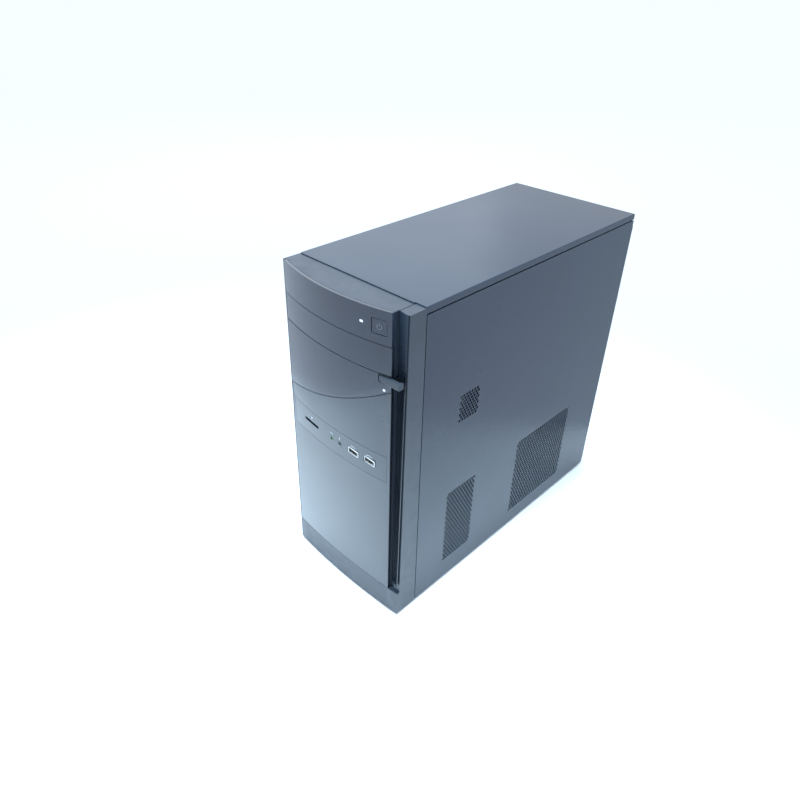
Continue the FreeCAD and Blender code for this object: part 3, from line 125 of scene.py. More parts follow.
# two white boards that the gloss mirrors, each glowing from one tone to another along its foot: painted light
# of the tent's walls, the right board's low tone being painted shade where that wall stands in the tower's
# shadow
boardSetup = [
    {"name": "right_board", "foot": ((0.095, 0.303), (0.74, -0.396)), "height": 1.3,
     "reach": (0.04, 0.30), "low": (0.62, 0.79, 0.95), "high": (0.89, 1.02, 1.20)},
    {"name": "left_board", "foot": ((-0.556, -0.150), (-0.02, -0.717)), "height": 1.3,
     "reach": (-0.55, -0.20), "low": (0.88, 1.02, 1.22), "high": (0.90, 1.04, 1.25)},
]


def makeBoards():
    for setup in boardSetup:
        (x0, y0), (x1, y1) = setup["foot"]
        bm = bmesh.new()
        corners = ((x0, y0, 0), (x1, y1, 0), (x1, y1, setup["height"]), (x0, y0, setup["height"]))
        face = bm.faces.new([bm.verts.new(corner) for corner in corners])
        face.normal_update()
        if face.normal.dot(Vector((-x0 - x1, -y0 - y1, 0))) < 0:
            face.normal_flip()
        mesh = bpy.data.meshes.new(setup["name"])
        bm.to_mesh(mesh)
        bm.free()
        board = bpy.data.objects.new(setup["name"], mesh)
        bpy.context.scene.collection.objects.link(board)
        paint = bpy.data.materials.new(setup["name"] + "_glow")
        paint.use_nodes = True
        tree = paint.node_tree
        shader = tree.nodes["Principled BSDF"]
        shader.inputs["Base Color"].default_value = (0.02, 0.02, 0.02, 1)
        shader.inputs["Roughness"].default_value = 0.9
        shader.inputs["Emission Strength"].default_value = 1
        place = tree.nodes.new("ShaderNodeTexCoord")
        parts = tree.nodes.new("ShaderNodeSeparateXYZ")
        share = tree.nodes.new("ShaderNodeMapRange")
        share.interpolation_type = "SMOOTHSTEP"
        share.inputs["From Min"].default_value, share.inputs["From Max"].default_value = setup["reach"]
        blend = tree.nodes.new("ShaderNodeMix")
        blend.data_type = "RGBA"
        # low tone by the tower's corner: painted shade of the wall (deep on the right board); high tone: the
        # wall's painted light
        blend.inputs[6].default_value = (*setup["low"], 1)
        blend.inputs[7].default_value = (*setup["high"], 1)
        tree.links.new(place.outputs["Object"], parts.inputs["Vector"])
        tree.links.new(parts.outputs["X"], share.inputs["Value"])
        tree.links.new(share.outputs["Result"], blend.inputs[0])
        tree.links.new(blend.outputs[2], shader.inputs["Emission Color"])
        # from behind, a board is clear, so that the sky lights the tower through it
        side = tree.nodes.new("ShaderNodeNewGeometry")
        clear = tree.nodes.new("ShaderNodeBsdfTransparent")
        choice = tree.nodes.new("ShaderNodeMixShader")
        tree.links.new(side.outputs["Backfacing"], choice.inputs[0])
        tree.links.new(shader.outputs["BSDF"], choice.inputs[1])
        tree.links.new(clear.outputs["BSDF"], choice.inputs[2])
        tree.links.new(choice.outputs["Shader"], tree.nodes["Material Output"].inputs["Surface"])
        mesh.materials.append(paint)
        board.visible_camera = False


makeCamera()
makeLights()
makeFloor()
makeBoards()
bpy.context.scene.view_settings.view_transform = "Standard"
print("camera, light and floor made")


# a procedural finish being put together: its nodes, and short ways to add and join more
class Finish:
    def __init__(self, name, colour, roughness, metallic=0.0):
        self.material = bpy.data.materials.new(name)
        self.material.use_nodes = True
        self.tree = self.material.node_tree
        self.shader = self.tree.nodes["Principled BSDF"]
        self.shader.inputs["Base Color"].default_value = (*colour, 1)
        self.shader.inputs["Roughness"].default_value = roughness
        self.shader.inputs["Metallic"].default_value = metallic
        self.place = self.add("ShaderNodeTexCoord").outputs["Object"]

    def add(self, kind, **settings):
        made = self.tree.nodes.new(kind)
        for name, value in settings.items():
            setattr(made, name, value)
        return made

    def join(self, output, node, socket):
        self.tree.links.new(output, node.inputs[socket])

    def set(self, socket, value):
        self.shader.inputs[socket].default_value = value

    # noise whose features are about size metres across
    def noise(self, size, detail=3.0, stretch=(1, 1, 1)):
        mapping = self.add("ShaderNodeMapping")
        mapping.inputs["Scale"].default_value = stretch
        self.join(self.place, mapping, "Vector")
        made = self.add("ShaderNodeTexNoise")
        made.inputs["Scale"].default_value = 1 / size
        made.inputs["Detail"].default_value = detail
        self.join(mapping.outputs["Vector"], made, "Vector")
        return made.outputs["Fac"]

    def spread(self, source, low, high, fromLow=0.3, fromHigh=0.7):
        made = self.add("ShaderNodeMapRange")
        made.inputs["From Min"].default_value, made.inputs["From Max"].default_value = fromLow, fromHigh
        made.inputs["To Min"].default_value, made.inputs["To Max"].default_value = low, high
        self.join(source, made, "Value")
        return made.outputs["Result"]

    # colour that runs from low to high with source
    def tint(self, source, low, high):
        made = self.add("ShaderNodeMix", data_type="RGBA")
        made.inputs[6].default_value = (*low, 1)
        made.inputs[7].default_value = (*high, 1)
        self.join(source, made, 0)
        return made.outputs[2]

    # colour clouded from low to high, by noise of the given size
    def clouds(self, size, low, high):
        self.colour(self.tint(self.spread(self.noise(size, 4), 0, 1), low, high))

    def colour(self, output):
        self.join(output, self.shader, "Base Color")

    def rough(self, output):
        self.join(output, self.shader, "Roughness")

    # bump of depth metres; a second call adds to the first
    def bump(self, source, strength, depth):
        made = self.add("ShaderNodeBump")
        made.inputs["Strength"].default_value = strength
        made.inputs["Distance"].default_value = depth
        self.join(source, made, "Height")
        former = self.shader.inputs["Normal"].links
        if former:
            self.join(former[0].from_socket, made, "Normal")
        self.join(made.outputs["Normal"], self.shader, "Normal")


# black enamel on sheet steel: fine orange peel, faint handling marks
def paintedSteel():
    finish = Finish("painted_steel", (0.03, 0.04, 0.05), 0.4)
    finish.clouds(0.11, (0.014, 0.025, 0.044), (0.019, 0.031, 0.052))
    finish.rough(finish.spread(finish.noise(0.06, 2), 0.235, 0.265))
    finish.bump(finish.noise(0.0011, 2), 0.22, 0.00008)
    finish.bump(finish.noise(0.09, 2), 0.02, 0.0004)
    finish.set("IOR", 1.5)
    return finish.material


# polished front panels: a smooth coat, a slight waviness of the moulding, faint smears
def glossPlastic():
    finish = Finish("gloss_plastic", (0.03, 0.04, 0.05), 0.2)
    finish.clouds(0.07, (0.014, 0.022, 0.036), (0.020, 0.029, 0.045))
    finish.rough(finish.spread(finish.noise(0.05, 2), 0.20, 0.27))
    finish.bump(finish.noise(0.05, 1), 0.03, 0.0004)
    finish.set("IOR", 1.52)
    finish.set("Coat Weight", 0.4)
    finish.set("Coat Roughness", 0.06)
    return finish.material


# front moulding: fine spark-eroded grain
def satinPlastic():
    finish = Finish("satin_plastic", (0.03, 0.04, 0.05), 0.4)
    finish.clouds(0.05, (0.015, 0.025, 0.040), (0.021, 0.032, 0.050))
    finish.rough(finish.spread(finish.noise(0.012, 4), 0.32, 0.44))
    finish.bump(finish.noise(0.0006, 2), 0.3, 0.00006)
    finish.set("IOR", 1.6)
    return finish.material


# plain moulded plastic of fans, sockets and drive fascia
def darkPlastic(name="dark_plastic", colour=(0.012, 0.014, 0.017)):
    finish = Finish(name, colour, 0.45)
    lighter = tuple(value * 1.5 + 0.004 for value in colour)
    finish.clouds(0.02, colour, lighter)
    finish.rough(finish.spread(finish.noise(0.006, 3), 0.38, 0.55))
    finish.bump(finish.noise(0.0005, 2), 0.25, 0.00005)
    return finish.material


# zinc-plated sheet: soft spangle, rolling streaks and fine scratches
def zincSteel(name="zinc_steel", dark=(0.27, 0.28, 0.295), light=(0.38, 0.395, 0.41), rough=(0.28, 0.44)):
    finish = Finish(name, dark, 0.35, 1.0)
    spangle = finish.add("ShaderNodeTexVoronoi")
    spangle.inputs["Scale"].default_value = 170
    finish.join(finish.place, spangle, "Vector")
    finish.colour(finish.tint(finish.spread(spangle.outputs["Color"], 0.25, 0.75, 0.1, 0.9), dark, light))
    finish.rough(finish.spread(finish.noise(0.01, 5, (1, 6, 1)), *rough))
    finish.bump(finish.noise(0.002, 3, (1, 12, 1)), 0.08, 0.0001)
    return finish.material


# painted shade: polished near-black standing in for the shade of the deep channel, streaked down its length,
# the painted shade lifting towards the channel's top
def channelShade():
    finish = Finish("channel_painted_shade", (0.004, 0.007, 0.011), 0.1)
    parts = finish.add("ShaderNodeSeparateXYZ")
    finish.join(finish.place, parts, "Vector")
    height = finish.spread(parts.outputs["Z"], 0, 1, 0.30, 0.365)
    share = finish.spread(finish.noise(0.003, 3, (1, 1, 0.04)), 0, 1)
    streaks = finish.tint(share, (0.002, 0.004, 0.008), (0.007, 0.012, 0.019))
    # lighter towards the top: the painted shade lifts where the channel opens out at the top
    upper = finish.tint(height, (0, 0, 0), (0.018, 0.029, 0.046))
    mixed = finish.add("ShaderNodeMix", data_type="RGBA", blend_type="ADD")
    mixed.inputs[0].default_value = 1
    finish.join(streaks, mixed, 6)
    finish.join(upper, mixed, 7)
    finish.colour(mixed.outputs[2])
    finish.rough(finish.spread(height, 0.10, 0.42, 0, 1))
    finish.set("IOR", 1.38)
    return finish.material


# cast and machined aluminium: fine grain, cloudy sheen
def aluminium():
    finish = Finish("aluminium", (0.52, 0.53, 0.55), 0.4, 1.0)
    finish.clouds(0.03, (0.46, 0.48, 0.50), (0.62, 0.63, 0.65))
    finish.rough(finish.spread(finish.noise(0.004, 4), 0.32, 0.5))
    finish.bump(finish.noise(0.0007, 2), 0.2, 0.00006)
    return finish.material


# soft rubber of the feet: chalky, scuffed
def rubber():
    finish = Finish("foot_rubber", (0.015, 0.016, 0.018), 0.8)
    finish.clouds(0.008, (0.012, 0.013, 0.015), (0.03, 0.032, 0.035))
    finish.rough(finish.spread(finish.noise(0.003, 4), 0.7, 0.9))
    finish.bump(finish.noise(0.0008, 3), 0.4, 0.0001)
    return finish.material


# braided sleeve: crossing threads all round the cable
def sleeve():
    finish = Finish("cable_sleeve", (0.014, 0.014, 0.016), 0.65)
    threads = []
    for turn in ((0.6, 0.7, 0.4), (-0.7, 0.5, 0.8)):
        mapping = finish.add("ShaderNodeMapping")
        mapping.inputs["Rotation"].default_value = turn
        finish.join(finish.place, mapping, "Vector")
        wave = finish.add("ShaderNodeTexWave")
        wave.inputs["Scale"].default_value = 330
        finish.join(mapping.outputs["Vector"], wave, "Vector")
        threads.append(wave.outputs["Fac"])
    weave = finish.add("ShaderNodeMath", operation="MAXIMUM")
    for index, thread in enumerate(threads):
        finish.join(thread, weave, index)
    finish.colour(finish.tint(weave.outputs["Value"], (0.006, 0.006, 0.007), (0.035, 0.035, 0.038)))
    finish.bump(weave.outputs["Value"], 0.5, 0.0002)
    return finish.material


# circuit board: solder mask over faint copper tracks
def circuit(name, mask, track):
    finish = Finish(name, mask, 0.35)
    mapping = finish.add("ShaderNodeMapping")
    mapping.inputs["Scale"].default_value = (1, 260, 260)
    finish.join(finish.place, mapping, "Vector")
    tracks = finish.add("ShaderNodeTexVoronoi", distance="MANHATTAN", feature="DISTANCE_TO_EDGE")
    tracks.inputs["Scale"].default_value = 1
    finish.join(mapping.outputs["Vector"], tracks, "Vector")
    lines = finish.spread(tracks.outputs["Distance"], 1, 0, 0.02, 0.08)
    finish.colour(finish.tint(lines, mask, track))
    finish.rough(finish.spread(finish.noise(0.01, 4), 0.28, 0.45))
    finish.bump(lines, 0.2, 0.00005)
    return finish.material


# blank paper label: off-white with faint grey bands
def label():
    finish = Finish("paper_label", (0.6, 0.6, 0.58), 0.6)
    parts = finish.add("ShaderNodeSeparateXYZ")
    finish.join(finish.place, parts, "Vector")
    bands = finish.add("ShaderNodeMath", operation="PINGPONG")
    finish.join(parts.outputs["Z"], bands, 0)
    bands.inputs[1].default_value = 0.006
    finish.colour(finish.tint(finish.spread(bands.outputs["Value"], 0, 1, 0.0044, 0.0048),
                              (0.62, 0.62, 0.60), (0.36, 0.37, 0.38)))
    finish.rough(finish.spread(finish.noise(0.01, 3), 0.5, 0.7))
    return finish.material


materials = {
    "paintedSteel": paintedSteel(),
    "gloss": glossPlastic(),
    "satin": satinPlastic(),
    "channel": channelShade(),
    "lever": darkPlastic("lever_plastic", (0.020, 0.028, 0.038)),
    "mark": darkPlastic("raised_mark", (0.10, 0.12, 0.14)),
    "print": darkPlastic("white_print", (0.42, 0.48, 0.52)),
    "lamp": darkPlastic("lamp_white", (0.80, 0.86, 0.90)),
    "darkPlastic": darkPlastic(),
    "whitePlastic": darkPlastic("white_plastic", (0.55, 0.57, 0.58)),
    "socket": darkPlastic("socket_plastic", (0.018, 0.030, 0.075)),
    "portPlastic": darkPlastic("port_plastic", (0.03, 0.05, 0.12)),
    "redPlastic": darkPlastic("red_plastic", (0.45, 0.02, 0.015)),
    "jackGreen": darkPlastic("jack_green", (0.10, 0.16, 0.12)),
    "jackGrey": darkPlastic("jack_grey", (0.10, 0.12, 0.13)),
    "component": darkPlastic("component_black", (0.02, 0.02, 0.022)),
    "zinc": zincSteel(),
    "nickel": zincSteel("nickel", (0.62, 0.62, 0.60), (0.74, 0.74, 0.72), (0.18, 0.30)),
    "brass": zincSteel("brass", (0.60, 0.44, 0.20), (0.72, 0.55, 0.28), (0.25, 0.38)),
    "aluminium": aluminium(),
    "rubber": rubber(),
    "headerPlastic": darkPlastic("header_plastic", (0.30, 0.29, 0.24)),
    "label": label(),
    "sleeve": sleeve(),
    "circuitGreen": circuit("circuit_green", (0.012, 0.075, 0.035), (0.03, 0.14, 0.06)),
    "circuitBrown": circuit("circuit_brown", (0.17, 0.10, 0.045), (0.25, 0.17, 0.08)),
}
print("materials made:", len(materials))


# mesh helpers, in millimetres
def span(node):
    low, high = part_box(node)
    return low / mm, high / mm


def addBox(bm, xs, ys, zs):
    size = Vector((xs[1] - xs[0], ys[1] - ys[0], zs[1] - zs[0]))
    middle = Vector((xs[0] + xs[1], ys[0] + ys[1], zs[0] + zs[1])) / 2
    bmesh.ops.create_cube(bm, size=1, matrix=Matrix.Translation(middle) @ Matrix.Diagonal((*size, 1)))


# turns of a shape drawn along Z
towards = {"X": Matrix.Rotation(math.pi / 2, 4, "Y"), "Y": Matrix.Rotation(-math.pi / 2, 4, "X")}


# round bar along an axis from low to high, about the point given by place
def addRod(bm, axis, place, radius, low, high, segments=32):
    middle = Vector(place)
    middle["XYZ".index(axis)] = (low + high) / 2
    bmesh.ops.create_cone(bm, cap_ends=True, segments=segments, radius1=radius, radius2=radius,
                          depth=high - low, matrix=Matrix.Translation(middle) @ towards[axis])


# solid of revolution from a profile of (along, radius) pairs, turned about an axis through place
def addTurned(bm, axis, place, profile, segments=40):
    turn = Matrix.Translation(place) @ towards[axis]
    points = [bm.verts.new(turn @ Vector((radius, 0, along))) for along, radius in profile]
    edges = [bm.edges.new(pair) for pair in zip(points, points[1:])]
    axle = towards[axis].to_3x3() @ Vector((0, 0, 1))
    bmesh.ops.spin(bm, geom=points + edges, cent=place, axis=axle, angle=2 * math.pi, steps=segments,
                   use_merge=True)


# closed plate from an outline in the X-Z plane, reaching from near to far along Y
def addPlate(bm, outline, near, far):
    corners = [bm.verts.new((x, near, z)) for x, z in outline]
    face = bm.faces.new(corners)
    grown = bmesh.ops.extrude_face_region(bm, geom=[face])["geom"]
    verts = [item for item in grown if isinstance(item, bmesh.types.BMVert)]
    bmesh.ops.translate(bm, vec=(0, far - near, 0), verts=verts)


# points round a centre, from one angle to another in degrees
def arcPoints(centre, radius, start, end, steps):
    angles = [math.radians(start + (end - start) * step / steps) for step in range(steps + 1)]
    return [(centre[0] + radius * math.cos(angle), centre[1] + radius * math.sin(angle)) for angle in angles]


def circle(centre, radius, steps=24):
    return arcPoints(centre, radius, 0, 360, steps)[:-1]


def roundedRect(low, high, radius, steps=5):
    left, right = low[0] + radius, high[0] - radius
    bottom, top = low[1] + radius, high[1] - radius
    corners = (((right, top), 0), ((left, top), 90), ((left, bottom), 180), ((right, bottom), 270))
    return [point for centre, start in corners
            for point in arcPoints(centre, radius, start, start + 90, steps)]


# band between two radii, part of the way round
def arcBand(centre, outer, inner, start, end, steps):
    return arcPoints(centre, outer, start, end, steps) + arcPoints(centre, inner, start, end, steps)[::-1]


def markSharp(bm, angle):
    for face in bm.faces:
        face.smooth = True
    for edge in bm.edges:
        edge.smooth = len(edge.link_faces) == 2 and edge.calc_face_angle(0) < math.radians(angle)


# the mesh of one piece cut by the closed shapes in another
def carved(bm, cutter):
    holders = []
    for source in (bm, cutter):
        bmesh.ops.recalc_face_normals(source, faces=source.faces)
        mesh = bpy.data.meshes.new("carving")
        source.to_mesh(mesh)
        source.free()
        holder = bpy.data.objects.new("carving", mesh)
        bpy.context.scene.collection.objects.link(holder)
        holders.append(holder)
    tool = holders[0].modifiers.new("carve", "BOOLEAN")
    tool.operation, tool.solver, tool.object = "DIFFERENCE", "EXACT", holders[1]
    tool.use_self = True
    result = bmesh.new()
    result.from_object(holders[0], bpy.context.evaluated_depsgraph_get())
    for holder in holders:
        mesh = holder.data
        bpy.data.objects.remove(holder)
        bpy.data.meshes.remove(mesh)
    return result


# adds one mesh to another
def joined(bm, part):
    mesh = bpy.data.meshes.new("part")
    part.to_mesh(mesh)
    part.free()
    bm.from_mesh(mesh)
    bpy.data.meshes.remove(mesh)


# one finished piece: metres, outward faces, soft edges, its body, slot and the CAD nodes it stands for
def finished(bm, name, body, material, nodes, edge=0.0, segments=2, angle=35):
    bmesh.ops.remove_doubles(bm, verts=bm.verts, dist=0.001)
    bmesh.ops.recalc_face_normals(bm, faces=bm.faces)
    markSharp(bm, angle)
    bmesh.ops.scale(bm, vec=(mm, mm, mm), verts=bm.verts)
    mesh = bpy.data.meshes.new(name)
    bm.to_mesh(mesh)
    bm.free()
    mesh.materials.append(material)
    piece = bpy.data.objects.new(name, mesh)
    bpy.context.scene.collection.objects.link(piece)
    if edge:
        rounding = piece.modifiers.new("rounding", "BEVEL")
        rounding.width, rounding.segments = edge * mm, segments
        rounding.limit_method, rounding.angle_limit = "ANGLE", math.radians(angle)
        rounding.miter_outer = "MITER_ARC"
        evened = piece.modifiers.new("evened", "WEIGHTED_NORMAL")
        evened.keep_sharp = True
    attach(piece, body)
    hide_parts(*nodes)


# merged copy of a CAD node's mesh, in millimetres, with its flat faces joined up
def copied(node):
    bm = bmesh.new()
    bm.from_mesh(frame["nodes"][node].data)
    bmesh.ops.scale(bm, vec=(1 / mm, 1 / mm, 1 / mm), verts=bm.verts)
    bmesh.ops.remove_doubles(bm, verts=bm.verts, dist=0.002)
    bmesh.ops.dissolve_limit(bm, angle_limit=math.radians(0.4), verts=bm.verts, edges=bm.edges)
    return bm


bodyOf = {node: body for body, members in frame["record"]["behaviour"]["bodies"].items() for node in members}


# outer face of the front, ruled between an arc at the top and a flatter one at the floor: height, apex
# and radius of each; slice is the width of the strips that a plate is cut into before it bends
frontBow = {"apexX": 2.3, "top": (367.0, -196.0, 262.0), "low": (3.0, -192.1, 937.0), "slice": 2.6}


def frontY(x, z):
    (top, topApex, topRadius), (low, lowApex, lowRadius) = frontBow["top"], frontBow["low"]
    aside = (x - frontBow["apexX"]) ** 2
    upper = topApex + topRadius - math.sqrt(topRadius ** 2 - aside)
    lower = lowApex + lowRadius - math.sqrt(lowRadius ** 2 - aside)
    return lower + (upper - lower) * (z - low) / (top - low)


# bends a flat plate, drawn with its outer face at Y 0, onto the bowed front
def bowed(bm):
    low = min(vert.co.x for vert in bm.verts)
    high = max(vert.co.x for vert in bm.verts)
    for step in range(1, math.ceil((high - low) / frontBow["slice"])):
        bmesh.ops.bisect_plane(bm, geom=bm.verts[:] + bm.edges[:] + bm.faces[:],
                               plane_co=(low + frontBow["slice"] * step, 0, 0), plane_no=(1, 0, 0))
    for vert in bm.verts:
        vert.co.y += frontY(vert.co.x, vert.co.z)


panelSetup = {"skin": 3.0, "cornerRadius": 1.2, "edge": 0.45, "bandEdge": 0.25,
              "buttonSlit": 0.4, "bandSlit": 0.12, "halfSeam": 0.3}

# lamps by the middles of their lenses, and what shows through the front by its lowest and highest corners
lampSetup = {"power": (38.8, 350.7), "drive": (62.7, 289.3), "reader": (-42.5, 206.4)}
openingSetup = {"lever": ((56.6, 296.6), (73, 304.8)), "card": ((-55.6, 198.5), (-30.6, 201.9))}
socketSetup = {"usbX": (24.3, 45.6), "jackX": (-8.0, 4.6), "z": 200.2}


# flat panel with rounded corners and openings, bent onto the front
def makePanel(name, body, node, outline, openings=(), edge=panelSetup["edge"]):
    bm = bmesh.new()
    addPlate(bm, outline, 0, panelSetup["skin"])
    if openings:
        cutter = bmesh.new()
        for opening in openings:
            addPlate(cutter, opening, -9, 9)
        bm = carved(bm, cutter)
    bowed(bm)
    finished(bm, name, body, materials["gloss"], [node], edge=edge, segments=3)


# rectangle round a middle, given by its half width and half height
def roundedBlock(centre, halfWide, halfHigh, radius, steps=5):
    low = (centre[0] - halfWide, centre[1] - halfHigh)
    high = (centre[0] + halfWide, centre[1] + halfHigh)
    return roundedRect(low, high, radius, steps)


# a node's outline seen from the front, grown by a margin
def frontOutline(node, margin, radius):
    low, high = span(node)
    return roundedRect((low.x - margin, low.z - margin), (high.x + margin, high.z + margin), radius)


# seam between the bay blank and the lower panel: an arc through three points
arcSeam = {"points": ((-82.5, 231.7), (-4.7, 252.9), (71.2, 290.4)), "steps": 26}


def arcLine(shift, left, right):
    (ax, az), (bx, bz), (cx, cz) = arcSeam["points"]
    twice = 2 * (ax * (bz - cz) + bx * (cz - az) + cx * (az - bz))
    a2, b2, c2 = ax * ax + az * az, bx * bx + bz * bz, cx * cx + cz * cz
    middleX = (a2 * (bz - cz) + b2 * (cz - az) + c2 * (az - bz)) / twice
    middleZ = (a2 * (cx - bx) + b2 * (ax - cx) + c2 * (bx - ax)) / twice
    radius = math.hypot(ax - middleX, az - middleZ)
    xs = [left + (right - left) * step / arcSeam["steps"] for step in range(arcSeam["steps"] + 1)]
    return [(x, middleZ + shift - math.sqrt(radius ** 2 - (x - middleX) ** 2)) for x in xs]


def makeFrontPanels():
    corner, seam = panelSetup["cornerRadius"], panelSetup["halfSeam"]
    makePanel("upper_gloss_band", "root", "upper_band", frontOutline("upper_band", 0, corner),
              [frontOutline("power_button", panelSetup["buttonSlit"], 1.4),
               roundedBlock(lampSetup["power"], 2.0, 1.3, 0.8)])
    makePanel("tray_gloss_band", "tray", "tray_front", frontOutline("tray_front", 0, corner))
    low, high = span("bay_blank")
    makePanel("bay_blank_panel", "root", "bay_blank",
              [(high.x, high.z), (low.x, high.z), *arcLine(seam, low.x, high.x)],
              [roundedRect(*openingSetup["lever"], 0.8), circle(lampSetup["drive"], 1.5)])
    bottom = span("lower_panel")[0].z
    makePanel("lower_gloss_panel", "root", "lower_panel",
              [(low.x, bottom), (high.x, bottom), *reversed(arcLine(-seam, low.x, high.x))],
              [frontOutline("io_band", panelSetup["bandSlit"], 0.6)])
    openings = [roundedRect(*openingSetup["card"], 0.8), circle(lampSetup["reader"], 1.1)]
    openings += [circle((x, socketSetup["z"]), 3.3) for x in socketSetup["jackX"]]
    openings += [roundedBlock((x, socketSetup["z"]), 7.4, 3.8, 0.8) for x in socketSetup["usbX"]]
    makePanel("socket_band", "root", "io_band", frontOutline("io_band", 0, 0.5), openings,
              panelSetup["bandEdge"])


# key with a raised ring and bar on its face
def makePowerButton():
    low, high = span("power_button")
    centre = ((low.x + high.x) / 2, (low.z + high.z) / 2)
    bm = bmesh.new()
    addPlate(bm, frontOutline("power_button", 0, 1.2), 0.15, 4)
    bowed(bm)
    finished(bm, "power_key", "power_button", materials["gloss"], ["power_button"],
             edge=0.5, segments=3)
    bm = bmesh.new()
    addPlate(bm, arcBand(centre, 2.6, 2.1, 125, 415, 24), 0.05, 0.6)
    addBox(bm, (centre[0] - 0.25, centre[0] + 0.25), (0.05, 0.6), (centre[1] + 0.6, centre[1] + 3.1))
    bowed(bm)
    finished(bm, "power_symbol", "power_button", materials["mark"], ["power_button"])


stripSeam = {"x": (70.5, 71.2), "y": (-200, -159), "depth": 1.2}


# the front moulding, with a seam across its top where the strip begins
def makeBezel():
    cutter = bmesh.new()
    top = span("front_bezel")[1].z
    addBox(cutter, stripSeam["x"], stripSeam["y"], (top - stripSeam["depth"], top + 1))
    finished(carved(copied("front_bezel"), cutter), "front_moulding", "root",
             materials["satin"], ["front_bezel"], edge=0.4, segments=3, angle=40)


# the strip's face leans: low and high give a height, and the face's Y at its inner and outer edge there
channelSetup = {"low": (-5, -184.0, -188.8), "high": (380, -178.8, -181.2), "clear": 0.07, "corner": 0.7,
                "foot": 9.5, "head": 0.3, "setBack": 0.45, "steps": 24}


# polished lining of the channel beside the panels: the panels' side wall and the strip's face, darkened all
# over as painted shade of the channel
def makeChannel():
    wallX = span("upper_band")[1].x
    edgeX = span("front_bezel")[1].x
    bottom, top = span("lower_panel")[0].z, span("upper_band")[1].z
    (lowZ, *lowFace), (highZ, *highFace) = channelSetup["low"], channelSetup["high"]
    clear, rimX = channelSetup["clear"], edgeX - channelSetup["corner"]
    faceBottom, faceTop = bottom + channelSetup["foot"], top - channelSetup["head"]
    bm = bmesh.new()
    rings = []
    for step in range(channelSetup["steps"] + 1):
        share = step / channelSetup["steps"]
        wallZ, faceZ = bottom + (top - bottom) * share, faceBottom + (faceTop - faceBottom) * share
        along = (faceZ - lowZ) / (highZ - lowZ)
        inner, outer = (low + (high - low) * along for low, high in zip(lowFace, highFace))
        front = frontY(wallX, wallZ) + channelSetup["setBack"]
        rim = inner + (outer - inner) * (rimX - wallX) / (edgeX - wallX)
        wall = ((wallX - 0.4, front), (wallX + 0.22, front),
                (wallX + 0.22, inner + 1), (wallX - 0.4, inner + 1))
        face = ((wallX + 0.25, inner - clear), (rimX, rim - clear),
                (rimX, rim + 0.3), (wallX + 0.25, inner + 0.3))
        rings.append([[bm.verts.new((x, y, z)) for x, y in section]
                      for section, z in ((wall, wallZ), (face, faceZ))])
    for part in range(2):
        for near, far in zip(rings, rings[1:]):
            for index in range(4):
                follow = (index + 1) % 4
                bm.faces.new((near[part][index], near[part][follow], far[part][follow], far[part][index]))
        bm.faces.new(rings[0][part])
        bm.faces.new(rings[-1][part])
    finished(bm, "channel_shade_lining", "root", materials["channel"], ["front_bezel"])


beadSetup = {"inset": 2, "end": 70, "halfWide": 1.3, "deep": 1.5, "under": 0.04}


# the lid, and a narrow bead that closes its joint with the front moulding
def makeLid():
    finished(copied("top_cover"), "lid", "root", materials["paintedSteel"], ["top_cover"],
             edge=0.3, angle=40)
    low, high = span("top_cover")
    bm = bmesh.new()
    addBox(bm, (low.x + beadSetup["inset"], beadSetup["end"]),
           (low.y - beadSetup["halfWide"], low.y + beadSetup["halfWide"]),
           (high.z - beadSetup["deep"], high.z - beadSetup["under"]))
    finished(bm, "joint_bead", "root", materials["paintedSteel"], ["top_cover"])


def makeEjectLever():
    finished(copied("eject_button"), "eject_lever", "eject_button", materials["lever"],
             ["eject_button"], edge=0.6, segments=4)


def makeLamps():
    bm = bmesh.new()
    for outline in (roundedBlock(lampSetup["power"], 1.8, 1.1, 0.7), circle(lampSetup["drive"], 1.4),
                    circle(lampSetup["reader"], 1.0)):
        addPlate(bm, outline, 0.1, 2.4)
    bowed(bm)
    finished(bm, "white_lamps", "root", materials["lamp"], ["status_lamps"], edge=0.15)


usbSetup = {"outer": (7.2, 3.5), "inner": (6.5, 2.8), "deep": 16, "tongueHalf": 5.6, "contacts": 4,
            "contactPitch": 2.6, "springAside": 3.6, "springHalf": 1.1}


# two sockets: folded shells with springs, tongues and contacts
def makeFrontUsb():
    z = socketSetup["z"]
    shells, tongues, contacts = bmesh.new(), bmesh.new(), bmesh.new()
    for x in socketSetup["usbX"]:
        face = frontY(x, z)
        body, hollow = bmesh.new(), bmesh.new()
        addPlate(body, roundedBlock((x, z), *usbSetup["outer"], 0.8), face - 0.25, face + usbSetup["deep"])
        addPlate(hollow, roundedBlock((x, z), *usbSetup["inner"], 0.4), face - 2, face + usbSetup["deep"] - 1)
        joined(shells, carved(body, hollow))
        addBox(tongues, (x - usbSetup["tongueHalf"], x + usbSetup["tongueHalf"]), (face + 1.2, face + 15.6),
               (z + 0.1, z + 1.9))
        for index in range(usbSetup["contacts"]):
            middle = x + usbSetup["contactPitch"] * (index - (usbSetup["contacts"] - 1) / 2)
            addBox(contacts, (middle - 0.5, middle + 0.5), (face + 1.6, face + 14), (z - 0.12, z + 0.12))
        for middle in (x - usbSetup["springAside"], x + usbSetup["springAside"]):
            wide = (middle - usbSetup["springHalf"], middle + usbSetup["springHalf"])
            addBox(contacts, wide, (face + 1.0, face + 6), (z - 2.9, z - 2.35))
            addBox(contacts, wide, (face + 1.0, face + 6), (z + 2.35, z + 2.9))
    finished(shells, "front_usb_shells", "root", materials["nickel"], ["usb_sockets"], edge=0.15)
    finished(tongues, "front_usb_tongues", "root", materials["whitePlastic"], ["usb_sockets"],
             edge=0.2)
    finished(contacts, "front_usb_contacts", "root", materials["nickel"], ["usb_sockets"])


